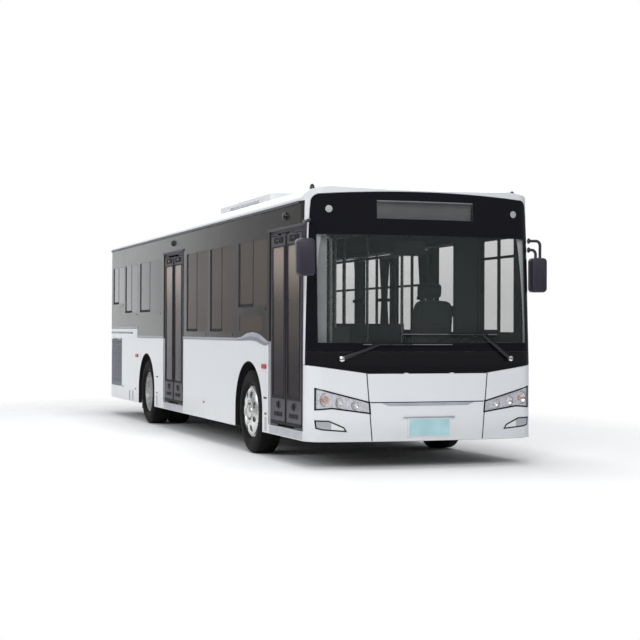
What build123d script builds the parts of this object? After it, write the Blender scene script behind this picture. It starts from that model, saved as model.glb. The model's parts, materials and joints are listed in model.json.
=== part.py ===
"""City bus, 10.5 m long, low floor, with two double-leaf inward-gliding doors on the kerb side.

Millimetres. +Z is up, the front faces -Y and the kerb (door) side is -X.
The origin is on the ground, below the middle of the overall length.
A station is a distance behind the middle of the front face.
"""
from build123d import *
from math import asin, cos, pi, radians, sin, sqrt
import os

os.makedirs("parts", exist_ok=True)

# Body
body_length = 10500
half_width = 1250
front_overhang = 2230
wheelbase = 5400
skirt_z = 275
belt_z = 1262
gutter_z = 2690
roof_z = 2890
mirror_head = (205, 115, 365)
mirror_s = -65
wall = 50
joint_gap = 4
hatch_gap = 6
seat_gap = 0.3
overrun = 100

# Front and rear ends: in plan a wide crown arc with a tighter arc at each corner, raked above a height
crown_radius = 6000
corner_radius = 200
tail_crown_radius = 20000
tail_corner_radius = 110
rake_z = 1035
rake = 95
tail_rake = 35
nose_end = 300
pillar_start = 246
tail_start = 10350
fascia_top_z = 955
fascia_rise = 82
glass_bottom_z = 1172
brow_z = 2790
brow_drop = 50
screen_corner = 85
screen_corner_x = 1105
glass = 8
fascia = 30
screen_flange = 26
split_top_x = 662
split_bottom_x = 604
front_hatch_z = 670

# Doors
front_door_start = 300
middle_door_start = 5360
door_width = 1130
door_top_z = 2430
leaf_x = -1228
leaf_thickness = 36
leaf_lead = 45
leaf_meeting_gap = 6
leaf_post_gap = 8
leaf_stile = 62
leaf_glass_low = 690
leaf_glass_high = 2262
door_glass = 6
rebate = 10
post_radius = 15
post_edge_gap = 9
arm_thickness = 16
arm_width = 34
arm_gap = 8
pin_radius = 8
pin_gap = 0.3
roller_radius = 6
track_wall = 5
track_depth = 20
track_play = 1

# Wheels and axles
tyre_radius = 470
tyre_width = 275
rim_radius = 286
rim_wall = 9
wheel_outer_x = 1235
twin_gap = 46
kingpin_x = 970
kingpin_radius = 22
spindle_radius = 35
hub_radius = 88
arch_radius = 545
arch_z = 490
axle_z = tyre_radius

# Floor and underframe
floor_z = 370
floor_thickness = 50
rear_floor_z = 700
step_start = 6720
housing_half = 570
housing_wall = 20
front_housing_x = 520
rear_housing_x = 545
engine_start = 9050
hood_z = 1130
bulkhead = 9680
shelf_z = 1710
tube = 50
rail_x = 400
rail_width = 70

# Lid hinges: barrels, and leaves as (depth, height)
hinge_barrel = 45
hinge_radius = 7
hinge_stand = 8
hinge_leaf = (22, 20)
nose_hinge_radius = 4
nose_hinge_leaf = (26, 10)
nose_hinge_x = 250
nose_hinge_inset = 5.5
tail_hinge_x = 400
flap_hinge_inset = 150

# Windows: sills, head and stations as shares of the bays between the doors and the ends
window_head_z = 2390
low_sill_z = 1360
high_sill_z = 1640
last_sill_z = 1790
small_head_z = 1560
pane = 6
pane_recess = 4
pane_lip = 12

mirror_lead = mirror_head[1] / 2 - mirror_s
front_y = -(body_length - mirror_lead) / 2
rear_y = front_y + body_length
front_door_end = front_door_start + door_width
middle_door_end = middle_door_start + door_width
door_starts = {"front": front_door_start, "middle": middle_door_start}
axle_stations = {"front": front_overhang, "rear": front_overhang + wheelbase}
bay_ends = {"cab": (nose_end, front_door_end), "fore": (front_door_end, middle_door_start),
            "door": (middle_door_start, middle_door_end), "aft": (middle_door_end, tail_start)}
# Columns: bay, first share, last share, sill height, head height
kerb_windows_share = [("fore", 0.066, 0.303, low_sill_z, small_head_z),
                      ("fore", 0.023, 0.313, high_sill_z, window_head_z),
                      ("fore", 0.359, 0.641, low_sill_z, window_head_z),
                      ("fore", 0.672, 0.949, low_sill_z, window_head_z),
                      ("aft", 0.042, 0.418, high_sill_z, window_head_z),
                      ("aft", 0.460, 0.706, high_sill_z, window_head_z),
                      ("aft", 0.730, 0.961, last_sill_z, window_head_z)]
road_windows_share = kerb_windows_share + [("cab", 0.18, 0.97, low_sill_z, window_head_z),
                                           ("door", 0.02, 0.98, low_sill_z, window_head_z)]
windows_share = {-1: kerb_windows_share, 1: road_windows_share}


def at(station):
    return front_y + station


def save(builder, name):
    builder.part.label = name
    export_step(builder.part, f"parts/{name}.step")


def bay(start, end, left, right, low, high):
    """Box between two stations, two places across the bus and two heights."""
    with BuildPart() as box:
        with Locations(((left + right) / 2, at((start + end) / 2), (low + high) / 2)):
            Box(right - left, end - start, high - low)
    return box.part


def side_bay(side, start, end, low, high, depth=overrun + wall):
    """Box through one side of the body."""
    edges = sorted((side * (half_width - depth), side * (half_width + overrun)))
    return bay(start, end, edges[0], edges[1], low, high)


def bow(half, crown, corner):
    """Join, middle and end of the corner arc beside a crown arc, as (across, depth behind the crown)."""
    turn = asin((half - corner) / (crown - corner))
    middle = (turn + pi / 2) / 2
    depth = crown - (crown - corner) * cos(turn)
    return ((crown * sin(turn), crown * (1 - cos(turn))),
            (half - corner + corner * sin(middle), depth - corner * cos(middle)),
            (half, depth))


def plan_face(z, inset):
    """Plan outline of the whole body at a height, inset from the skin."""
    above = max(z - rake_z, 0) / (brow_z - rake_z)
    ends = [(front_y + rake * above + inset, 1, crown_radius - inset, corner_radius - inset),
            (rear_y - tail_rake * above - inset, -1, tail_crown_radius - inset, tail_corner_radius - inset)]
    half = half_width - inset
    tips = []
    with BuildSketch(Plane.XY.offset(z)) as outline:
        with BuildLine():
            for apex, way, crown, corner in ends:
                join, middle, tip = bow(half, crown, corner)
                tips.append(apex + way * tip[1])
                ThreePointArc((-join[0], apex + way * join[1]), (0, apex), (join[0], apex + way * join[1]))
                for side in (-1, 1):
                    ThreePointArc((side * join[0], apex + way * join[1]),
                                  (side * middle[0], apex + way * middle[1]),
                                  (side * tip[0], apex + way * tip[1]))
            for side in (-1, 1):
                Line((side * half, tips[0]), (side * half, tips[1]))
        make_face()
    return outline.sketch


def body_block(low, high, inset=0):
    """Solid of the body between two heights, inset from the skin."""
    with BuildPart() as block:
        heights = [low] + [z for z in [rake_z] if low < z < high] + [high]
        loft([plan_face(z, inset).face() for z in heights], ruled=True)
    return block.part


def shell(low, high, outer=0, inner=wall):
    """Wall of the body between two heights and two depths below the skin."""
    with BuildPart() as ring:
        add(body_block(low, high, outer))
        add(body_block(low - overrun if low > rake_z + overrun else low, high, inner), mode=Mode.SUBTRACT)
    return ring.part


def facing(points):
    """Face across the bus in front of the nose, drawn as straight lines through (x, z) points."""
    with BuildSketch(Plane.XZ.offset(overrun - front_y)) as sketch:
        with BuildLine():
            Polyline(*points, close=True)
        make_face()
    return sketch.sketch


def front_prism(face, depth=nose_end + 2 * overrun):
    """A face in front of the nose, carried back through it."""
    with BuildPart() as prism:
        extrude(to_extrude=face, amount=-depth)
    return prism.part


def below_fascia(middle_z):
    """Face across the bus below the black panel: level in the middle, rising to the skin at each side."""
    top = middle_z + fascia_rise
    return facing([(-half_width, skirt_z), (-half_width, top), (-split_top_x, middle_z),
                   (split_top_x, middle_z),
                   (half_width, top), (half_width, skirt_z)])


def screen_face(grow):
    """Face in front of the windscreen: a shallow arc on top with a round corner at each end, wide below."""
    radius = screen_corner + grow
    arc_z = brow_z - brow_drop * (screen_corner_x / half_width) ** 2 + grow
    side_x = screen_corner_x + radius
    with BuildSketch(Plane.XZ.offset(overrun - front_y)) as sketch:
        with BuildLine():
            ThreePointArc((-screen_corner_x, arc_z), (0, brow_z + grow), (screen_corner_x, arc_z))
            for side in (-1, 1):
                ThreePointArc((side * screen_corner_x, arc_z),
                              (side * (screen_corner_x + radius * sqrt(0.5)),
                               arc_z - radius * (1 - sqrt(0.5))),
                              (side * side_x, arc_z - radius))
                Polyline((side * side_x, arc_z - radius), (side * (half_width + overrun), belt_z),
                         (side * (half_width + overrun), glass_bottom_z), (0, glass_bottom_z))
        make_face()
    return sketch.sketch


def arch(station, side, radius, inner_x, outer_x, low):
    """Wheel arch shape: round above, straight down to a height below."""
    with BuildPart() as hole:
        with BuildSketch(Plane.YZ.offset(min(side * inner_x, side * outer_x))):
            start = at(station) - radius
            end = at(station) + radius
            with BuildLine():
                ThreePointArc((start, arch_z), (at(station), arch_z + radius), (end, arch_z))
                Polyline((end, arch_z), (end, low), (start, low), (start, arch_z))
            make_face()
        extrude(amount=outer_x - inner_x)
    return hole.part


def window_spans(side):
    for name, first, last, sill, head in windows_share[side]:
        start, end = bay_ends[name]
        yield start + first * (end - start), start + last * (end - start), sill, head


def wheel_side(side):
    return "left" if side > 0 else "right"


def hinge(places, inward, radius, leaf, moving):
    """Hinges on one axis: each middle barrel for the lid, or the outer two for the body."""
    up = -1 if moving else 1
    shifts = [0] if moving else [-hinge_barrel - seat_gap, hinge_barrel + seat_gap]
    with BuildPart() as barrels:
        for place in places:
            across = Plane(origin=place, x_dir=inward, z_dir=Vector(*inward).cross(Vector(0, 0, 1)))
            for shift in shifts:
                with BuildSketch(across.offset(shift - hinge_barrel / 2)):
                    Circle(radius)
                    with Locations((leaf[0] / 2, up * leaf[1] / 2)):
                        Rectangle(*leaf)
                extrude(amount=hinge_barrel)
    return barrels.part


# Engine, a plain block between the rear rails
engine_half = 330
engine_length = 760
engine_z = (390, 1080)
engine_inset = 250
engine_end = body_length - engine_inset
engine_front = engine_end - engine_length

# Underframe: two rails, low at the front and high over the rear axle, with cross members
rear_rail_z = rear_floor_z - floor_thickness
low_rail_z = floor_z - floor_thickness
axle_clear = tube + rail_width
riser_start = step_start + housing_wall + seat_gap
riser_end = riser_start + rail_width
cross_stations = [nose_end + tube, front_door_end + tube, (front_overhang + middle_door_start) / 2,
                  middle_door_start - tube, middle_door_end + tube]
rear_cross_stations = [riser_end, engine_start - tube, engine_end + tube]
nose_post_x = 1120
jack_pad = (120, 160, 12)
jack_stations = (1200, 6300)
with BuildPart() as underframe:
    for side in (-1, 1):
        edges = sorted((side * (rail_x - rail_width / 2), side * (rail_x + rail_width / 2)))
        add(bay(0, riser_end, edges[0], edges[1], low_rail_z - tube, low_rail_z))
        add(bay(riser_start, riser_end, edges[0], edges[1], low_rail_z - tube, rear_rail_z))
        add(bay(riser_start, body_length, edges[0], edges[1], rear_rail_z - 2 * tube, rear_rail_z))
        edges = sorted((side * (engine_half + seat_gap), side * rail_x))
        for station in (engine_front + rail_width, engine_end - rail_width):
            add(bay(station - tube / 2, station + tube / 2, edges[0], edges[1], rear_rail_z - tube,
                    rear_rail_z))
    for station in cross_stations:
        add(bay(station - tube / 2, station + tube / 2, wall - half_width, half_width - wall,
                low_rail_z - tube, low_rail_z))
    for station in rear_cross_stations:
        add(bay(station - tube / 2, station + tube / 2, wall - half_width, half_width - wall,
                rear_rail_z - tube, rear_rail_z))
    add(body_block(low_rail_z - 2 * tube, rear_rail_z + tube, wall + seat_gap), mode=Mode.INTERSECT)
    add(shell(low_rail_z - tube, low_rail_z, fascia + seat_gap, fascia + tube)
        & bay(0, nose_end, -half_width, half_width, low_rail_z - tube, low_rail_z))
    for side in (-1, 1):
        for station in jack_stations:
            with Locations((side * rail_x, at(station), low_rail_z - tube - jack_pad[2] / 2)):
                Box(*jack_pad)
save(underframe, "underframe")

# Floor: low from the front to the middle door, a step, a high rear part and the engine hood
floor_half = half_width - wall
floor_start = nose_end
hood_end = body_length - tail_corner_radius - wall
with BuildPart() as floor:
    add(bay(floor_start, step_start, -floor_half, floor_half, low_rail_z, floor_z))
    add(bay(step_start, step_start + housing_wall, -floor_half, floor_half, low_rail_z, rear_floor_z))
    add(bay(step_start, engine_start + housing_wall, -floor_half, floor_half, rear_rail_z, rear_floor_z))
    add(bay(engine_start, engine_start + housing_wall, -floor_half, floor_half, rear_rail_z, hood_z))
    add(bay(engine_start, bulkhead, -floor_half, floor_half, hood_z - housing_wall, hood_z))
    add(bay(bulkhead, bulkhead + housing_wall, -floor_half, floor_half, hood_z - housing_wall, shelf_z))
    add(bay(bulkhead, hood_end, -floor_half, floor_half, shelf_z - housing_wall, shelf_z))
    for name, inner_x in (("front", front_housing_x), ("rear", rear_housing_x)):
        for side in (-1, 1):
            add(arch(axle_stations[name], side, housing_half, inner_x, floor_half, low_rail_z))
    for name, inner_x in (("front", front_housing_x), ("rear", rear_housing_x)):
        for side in (-1, 1):
            add(arch(axle_stations[name], side, housing_half - housing_wall, inner_x + housing_wall,
                     floor_half + wall, low_rail_z - overrun), mode=Mode.SUBTRACT)
    station = axle_stations["rear"]
    add(bay(station - axle_clear, station + axle_clear, -rear_housing_x - housing_wall,
            rear_housing_x + housing_wall, low_rail_z - overrun, rear_rail_z), mode=Mode.SUBTRACT)
save(floor, "floor")

# Lower side panels, with wheel arches, door openings and the radiator opening on the kerb side
grille_start = 9480
grille_end = 10330
grille_low_z = 480
grille_high_z = 1240
flap_hinges = [(-half_width - hinge_stand, at(station), grille_high_z - hatch_gap / 2)
               for station in (grille_start + flap_hinge_inset, grille_end - flap_hinge_inset)]
with BuildPart() as side_skirts:
    add(shell(skirt_z, belt_z))
    add(bay(nose_end + joint_gap, tail_start, -half_width, half_width, skirt_z, belt_z),
        mode=Mode.INTERSECT)
    for station in axle_stations.values():
        for side in (-1, 1):
            add(arch(station, side, arch_radius, floor_half - wall, half_width + overrun,
                     skirt_z - overrun),
                mode=Mode.SUBTRACT)
    for start in door_starts.values():
        add(side_bay(-1, start, start + door_width, floor_z, belt_z + overrun), mode=Mode.SUBTRACT)
    add(side_bay(-1, grille_start, grille_end, grille_low_z, grille_high_z), mode=Mode.SUBTRACT)
    add(hinge(flap_hinges, (1, 0, 0), hinge_radius, hinge_leaf, False))
save(side_skirts, "side_skirts")

# Upper side walls: the black window band from the belt to the gutter
with BuildPart() as window_bands:
    add(shell(belt_z, gutter_z))
    add(bay(nose_end + joint_gap, tail_start, -half_width, half_width, belt_z, gutter_z),
        mode=Mode.INTERSECT)
    for start in door_starts.values():
        add(side_bay(-1, start, start + door_width, belt_z - overrun, door_top_z), mode=Mode.SUBTRACT)
    for side in (-1, 1):
        for start, end, sill, head in window_spans(side):
            add(side_bay(side, start + pane_lip, end - pane_lip, sill + pane_lip, head - pane_lip),
                mode=Mode.SUBTRACT)
            add(side_bay(side, start, end, sill, head, pane_recess + pane + seat_gap), mode=Mode.SUBTRACT)
save(window_bands, "window_bands")

# Side panes and the rear window
rear_window_x = 780
rear_window_low_z = 1840
rear_window_high_z = 2440
with BuildPart() as windows:
    for side in (-1, 1):
        for start, end, sill, head in window_spans(side):
            edge = side * (half_width - pane_recess)
            edges = sorted((edge, edge - side * pane))
            add(bay(start + seat_gap, end - seat_gap, edges[0], edges[1], sill + seat_gap, head - seat_gap))
    add(shell(rear_window_low_z + seat_gap, rear_window_high_z - seat_gap, pane_recess, pane_recess + pane)
        & bay(tail_start, body_length, -rear_window_x + seat_gap, rear_window_x - seat_gap,
              rear_window_low_z, rear_window_high_z))
save(windows, "windows")

# Roof: coving at each side, crowned top, hollow below
coving = 105
coving_shoulder = 118
roof_wall = 45


def roof_section(inset):
    """Section of the roof across the bus, inset from its skin."""
    half = half_width - inset
    shoulder = (half - coving, gutter_z + coving_shoulder - inset)
    bend = (half - coving * (1 - sqrt(0.5)), gutter_z + (coving_shoulder - inset) * sqrt(0.5))
    with BuildSketch(Plane.XZ.offset(-rear_y - overrun)) as sketch:
        with BuildLine():
            ThreePointArc((-shoulder[0], shoulder[1]), (0, roof_z - inset), shoulder)
            for side in (-1, 1):
                ThreePointArc((side * half, gutter_z), (side * bend[0], bend[1]),
                              (side * shoulder[0], shoulder[1]))
            Polyline((-half, gutter_z), (-half, gutter_z - overrun), (half, gutter_z - overrun),
                     (half, gutter_z))
        make_face()
    return sketch.sketch


roof_slope = 620
roof_front_z = 2805
roof_rear_z = 2740


def roof_profile(inset):
    """Side view of the roof, falling to the brow in front and to the rear edge."""
    start = front_y + rake + inset
    end = rear_y - tail_rake - inset
    top = roof_z + overrun
    with BuildSketch(Plane.YZ.offset(-half_width - overrun)) as sketch:
        with BuildLine():
            Polyline((start, roof_front_z - inset), (start, gutter_z - overrun), (end, gutter_z - overrun),
                     (end, roof_rear_z - inset))
            ThreePointArc((end, roof_rear_z - inset),
                          (end - roof_slope / 4, roof_z - inset - (roof_z - roof_rear_z) / 3),
                          (end - roof_slope, roof_z - inset))
            Line((end - roof_slope, roof_z - inset), (start + roof_slope, roof_z - inset))
            ThreePointArc((start + roof_slope, roof_z - inset),
                          (start + roof_slope / 3, roof_z - inset - (roof_z - roof_front_z) / 3),
                          (start, roof_front_z - inset))
        make_face()
    return sketch.sketch


def roof_block(inset):
    with BuildPart() as block:
        extrude(to_extrude=roof_section(inset), amount=body_length + 2 * overrun)
        add(body_block(gutter_z - overrun, roof_z + overrun, inset), mode=Mode.INTERSECT)
        extrude(to_extrude=roof_profile(inset), amount=2 * (half_width + overrun), mode=Mode.INTERSECT)
    return block.part


def screen_region(grow):
    """Region that the windscreen panel takes out of the nose, below the brow and ahead of the pillars."""
    with BuildPart() as region:
        add(front_prism(screen_face(grow)))
        add(bay(-overrun, pillar_start + grow, -half_width, half_width, glass_bottom_z, brow_z + overrun),
            mode=Mode.INTERSECT)
    return region.part


with BuildPart() as roof:
    add(roof_block(0))
    add(roof_block(roof_wall), mode=Mode.SUBTRACT)
    add(bay(-overrun, body_length + overrun, -half_width, half_width, gutter_z, roof_z + overrun),
        mode=Mode.INTERSECT)
    add(screen_region(joint_gap), mode=Mode.SUBTRACT)
    add(shell(gutter_z, brow_z + screen_flange / 2, glass + seat_gap, roof_wall)
        & bay(0, nose_end, -half_width, half_width, gutter_z, brow_z + screen_flange / 2) & roof_block(0))
save(roof, "roof")

# Windscreen, wiper panel below it and the pillars beside it
with BuildPart() as windscreen:
    add(shell(glass_bottom_z, brow_z, 0, glass))
    add(screen_region(0), mode=Mode.INTERSECT)
save(windscreen, "windscreen")

panel_bottom_z = fascia_top_z + hatch_gap
nose_hinge_z = fascia_top_z + (hatch_gap - joint_gap) / 2
nose_hinges = [(side * nose_hinge_x, at(nose_hinge_inset), nose_hinge_z) for side in (-1, 1)]
with BuildPart() as wiper_panel:
    add(shell(fascia_top_z, glass_bottom_z - joint_gap, 0, fascia))
    add(bay(-overrun, pillar_start, -half_width, half_width, fascia_top_z, glass_bottom_z),
        mode=Mode.INTERSECT)
    add(front_prism(below_fascia(panel_bottom_z)), mode=Mode.SUBTRACT)
    add(hinge(nose_hinges, (0, 1, 0), nose_hinge_radius, nose_hinge_leaf, False))
save(wiper_panel, "wiper_panel")

pillar_low_z = fascia_top_z + fascia_rise + joint_gap
with BuildPart() as front_pillars:
    add(shell(pillar_low_z, gutter_z, 0, wall))
    add(bay(pillar_start + joint_gap, nose_end, -half_width, half_width, pillar_low_z, gutter_z),
        mode=Mode.INTERSECT)
    add(shell(pillar_low_z, gutter_z, fascia + seat_gap, wall)
        & bay(pillar_start - screen_flange, nose_end, -half_width, half_width, pillar_low_z, gutter_z))
    add(shell(glass_bottom_z, gutter_z, glass + seat_gap, wall)
        & bay(pillar_start - screen_flange, nose_end, -half_width, half_width, glass_bottom_z, gutter_z))
    add(shell(pillar_low_z, glass_bottom_z, fascia + seat_gap, wall + fascia)
        & bay(0, nose_end, -half_width, half_width, pillar_low_z, glass_bottom_z))
    add(shell(glass_bottom_z - screen_flange / 2, glass_bottom_z + screen_flange, glass + seat_gap, wall)
        & bay(0, nose_end, -half_width, half_width, glass_bottom_z, glass_bottom_z + screen_flange))
    for side in (-1, 1):
        edges = sorted((side * nose_post_x, side * (half_width - wall)))
        add(bay(nose_end - tube, nose_end, edges[0], edges[1], low_rail_z, glass_bottom_z))
save(front_pillars, "front_pillars")

# Lower front: a corner panel each side, the bumper between them and the service hatch above it
headlamp_x = (616, 1178)
headlamp_z = (548, 816)
fog_x = (858, 1178)
fog_z = (372, 492)
lamp_gap = 3
lamp_lens = 4
lamp_depth = 46
lamp_flange = 9
lamp_end = pillar_start - screen_flange - seat_gap
# Columns: share of the width from the inner end, share of the height from the bottom
headlamp_share = [(1, 1), (0.02, 0.46), (0, 0), (0.70, 0.20), (1, 0.15)]
fog_share = [(1, 1), (0.57, 0.97), (0.10, 0.42), (0, 0), (0.76, 0.16), (0.97, 0.30)]


def lamp_face(outline, across, up, side, grow):
    with BuildSketch(Plane.XZ.offset(overrun - front_y)) as sketch:
        with BuildLine():
            Polyline(*[(side * (across[0] + u * (across[1] - across[0])), up[0] + v * (up[1] - up[0]))
                       for u, v in outline], close=True)
        make_face()
        if grow:
            offset(amount=grow, kind=Kind.INTERSECTION)
    return sketch.sketch


lamps = [(headlamp_share, headlamp_x, headlamp_z), (fog_share, fog_x, fog_z)]


def split_face(side, gap):
    """Face that keeps what lies outboard of the slanted split beside the bumper."""
    top = fascia_top_z + fascia_rise
    return facing([(side * (split_bottom_x + gap), skirt_z), (side * (split_top_x + gap), fascia_top_z),
                   (side * (split_top_x + gap), top), (side * half_width, top),
                   (side * half_width, skirt_z)])


def nose_panel(low, high, top_centre_z):
    """Nose skin between two heights, ahead of the side walls and below the black panel."""
    with BuildPart() as panel:
        add(shell(low, high, 0, fascia))
        add(bay(-overrun, nose_end, -half_width, half_width, low, high), mode=Mode.INTERSECT)
        add(front_prism(below_fascia(top_centre_z)), mode=Mode.INTERSECT)
    return panel.part


with BuildPart() as front_corners:
    for side in (-1, 1):
        add(nose_panel(skirt_z, fascia_top_z + fascia_rise, fascia_top_z)
            & front_prism(split_face(side, joint_gap)))
    for side in (-1, 1):
        for outline, across, up in lamps:
            add(front_prism(lamp_face(outline, across, up, side, 0)), mode=Mode.SUBTRACT)
save(front_corners, "front_corners")

plate_x = 235
plate_z = (318, 504)
plate_pad = 6
plate_hole_x = 105
plate_hole_radius = 3.5
with BuildPart() as front_bumper:
    add(nose_panel(skirt_z, front_hatch_z - hatch_gap, fascia_top_z))
    for side in (-1, 1):
        add(front_prism(split_face(side, 0)), mode=Mode.SUBTRACT)
        for outline, across, up in lamps:
            add(front_prism(lamp_face(outline, across, up, side, 0)), mode=Mode.SUBTRACT)
    add(bay(-plate_pad, fascia / 2, -plate_x, plate_x, plate_z[0], plate_z[1]))
    with BuildSketch(Plane.XZ.offset(plate_pad - front_y)):
        with Locations((0, (plate_z[0] + plate_z[1]) / 2)):
            with GridLocations(2 * plate_hole_x, 0, 2, 1):
                Circle(plate_hole_radius)
    extrude(amount=-plate_pad - fascia - overrun, mode=Mode.SUBTRACT)
save(front_bumper, "front_bumper")

with BuildPart() as front_hatch:
    add(nose_panel(front_hatch_z, fascia_top_z + fascia_rise, fascia_top_z - joint_gap))
    for side in (-1, 1):
        add(front_prism(split_face(side, -hatch_gap)), mode=Mode.SUBTRACT)
        for outline, across, up in lamps:
            add(front_prism(lamp_face(outline, across, up, side, hatch_gap)), mode=Mode.SUBTRACT)
    add(hinge(nose_hinges, (0, 1, 0), nose_hinge_radius, nose_hinge_leaf, True))
save(front_hatch, "front_hatch")

# Lamp units: a dark housing with round reflector bowls behind a clear cover that follows the nose
# Columns: share of the lamp's width, share of its height, bowl radius
bowl_radius = 62
bowl_depth = 30
headlamp_bowls_share = [(0.83, 0.52, 1.0), (0.56, 0.42, 0.9), (0.27, 0.33, 0.8)]
fog_bowls_share = [(0.30, 0.42, 0.55), (0.70, 0.58, 0.72)]


def lamp_part(outer, inner, grow, depth=nose_end):
    """Both sides' lamp volumes between two depths below the skin, ahead of a station."""
    with BuildPart() as part:
        ring = shell(skirt_z, rake_z, outer, inner)
        ring = ring & bay(-overrun, depth, -half_width, half_width, skirt_z, rake_z)
        for side in (-1, 1):
            for outline, across, up in lamps:
                add(ring & front_prism(lamp_face(outline, across, up, side, grow)))
    return part.part


with BuildPart() as lamp_covers:
    add(lamp_part(0, lamp_lens, -lamp_gap))
save(lamp_covers, "lamp_covers")

bowl_line = bow(half_width, crown_radius, corner_radius)


def nose_depth(x):
    """Depth of the skin behind the middle of the front face, at a place across the bus."""
    x = abs(x)
    if x <= bowl_line[0][0]:
        return crown_radius - sqrt(crown_radius**2 - x**2)
    return bowl_line[2][1] - sqrt(corner_radius**2 - (x - half_width + corner_radius) ** 2)


with BuildPart() as lamp_housings:
    for side in (-1, 1):
        add(lamp_part(fascia + seat_gap, lamp_depth + fascia, lamp_flange, lamp_end)
            & front_prism(split_face(side, joint_gap)))
    add(lamp_part(lamp_lens + seat_gap, lamp_depth + fascia, -lamp_gap, lamp_end))
    for side in (-1, 1):
        for bowls, (outline, across, up) in zip((headlamp_bowls_share, fog_bowls_share), lamps):
            for u, v, size in bowls:
                x = across[0] + u * (across[1] - across[0])
                z = up[0] + v * (up[1] - up[0])
                with Locations((side * x, at(nose_depth(x)), z)):
                    Cone(bowl_radius * size / 2, bowl_radius * size, 2 * bowl_depth, rotation=(90, 0, 0),
                         mode=Mode.SUBTRACT)
save(lamp_housings, "lamp_housings")

# Destination sign behind the top of the windscreen, blank
sign_x = 530
sign_z = (2505, 2700)
sign_depth = 90
sign_start = 165
with BuildPart() as sign_box:
    add(bay(sign_start, sign_start + sign_depth, -sign_x, sign_x, sign_z[0], sign_z[1]))
    add(bay(sign_start - overrun, sign_start + pane, pane_lip - sign_x, sign_x - pane_lip,
            sign_z[0] + pane_lip,
            sign_z[1] - pane_lip), mode=Mode.SUBTRACT)
    for side in (-1, 1):
        edges = sorted((side * (sign_x - tube), side * (sign_x - 2 * tube)))
        add(bay(sign_start + sign_depth - tube, sign_start + sign_depth, edges[0], edges[1], sign_z[1],
                roof_z)
            & roof_block(roof_wall + seat_gap))
save(sign_box, "sign_box")

# Tail: upper wall with the rear window, engine hatch, bumper and lamp columns
hatch_x = 900
hatch_high_z = 1640
tail_lamp_x = (1010, 1140)
tail_lamp_z = (760, 1360)
bumper_top_z = 600
tail_lean = tail_rake * (hatch_high_z - rake_z) / (brow_z - rake_z)
tail_bulge = tail_crown_radius - sqrt(tail_crown_radius**2 - tail_hinge_x**2)
tail_hinges = [(side * tail_hinge_x, rear_y - tail_lean - tail_bulge + hinge_stand,
                hatch_high_z - hatch_gap / 2)
               for side in (-1, 1)]
with BuildPart() as rear_wall:
    add(shell(bumper_top_z + joint_gap, gutter_z))
    add(bay(tail_start + joint_gap, body_length + overrun, -half_width, half_width, bumper_top_z, gutter_z),
        mode=Mode.INTERSECT)
    add(bay(tail_start - overrun, body_length + overrun, pane_lip - rear_window_x, rear_window_x - pane_lip,
            rear_window_low_z + pane_lip, rear_window_high_z - pane_lip), mode=Mode.SUBTRACT)
    add(shell(rear_window_low_z, rear_window_high_z, -overrun / 2, pane_recess + pane + seat_gap)
        & bay(tail_start, body_length + overrun, -rear_window_x, rear_window_x, rear_window_low_z,
              rear_window_high_z), mode=Mode.SUBTRACT)
    add(bay(tail_start - overrun, body_length + overrun, -hatch_x, hatch_x, bumper_top_z, hatch_high_z),
        mode=Mode.SUBTRACT)
    for side in (-1, 1):
        edges = sorted((side * tail_lamp_x[0], side * tail_lamp_x[1]))
        add(bay(tail_start - overrun, body_length + overrun, edges[0], edges[1], tail_lamp_z[0],
                tail_lamp_z[1]),
            mode=Mode.SUBTRACT)
    add(hinge(tail_hinges, (0, -1, 0), hinge_radius, hinge_leaf, False))
save(rear_wall, "rear_wall")

with BuildPart() as rear_bumper:
    add(shell(skirt_z + tube, bumper_top_z))
    add(bay(tail_start + joint_gap, body_length + overrun, -half_width, half_width, skirt_z, bumper_top_z),
        mode=Mode.INTERSECT)
save(rear_bumper, "rear_bumper")

tail_ring = shell(tail_lamp_z[0] + seat_gap, tail_lamp_z[1] - seat_gap, 0, wall)
with BuildPart() as tail_lamps:
    for side in (-1, 1):
        edges = sorted((side * (tail_lamp_x[0] + seat_gap), side * (tail_lamp_x[1] - seat_gap)))
        add(tail_ring & bay(tail_start, body_length + overrun, edges[0], edges[1], tail_lamp_z[0],
                            tail_lamp_z[1]))
save(tail_lamps, "tail_lamps")

louvre_count = 7
louvre_height = 34
louvre_x = 560
louvre_pitch = 62
louvre_low_z = 840
with BuildPart() as engine_hatch:
    add(shell(bumper_top_z + hatch_gap, hatch_high_z - hatch_gap, 0, fascia))
    add(bay(tail_start, body_length + overrun, hatch_gap - hatch_x, hatch_x - hatch_gap, bumper_top_z,
            hatch_high_z),
        mode=Mode.INTERSECT)
    for row in range(louvre_count):
        low = louvre_low_z + row * louvre_pitch
        add(bay(tail_start, body_length + overrun, -louvre_x, louvre_x, low, low + louvre_height),
            mode=Mode.SUBTRACT)
    add(hinge(tail_hinges, (0, -1, 0), hinge_radius, hinge_leaf, True))
save(engine_hatch, "engine_hatch")

with BuildPart() as engine:
    add(bay(engine_front, engine_end, -engine_half, engine_half, engine_z[0], engine_z[1]))
save(engine, "engine")

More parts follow.
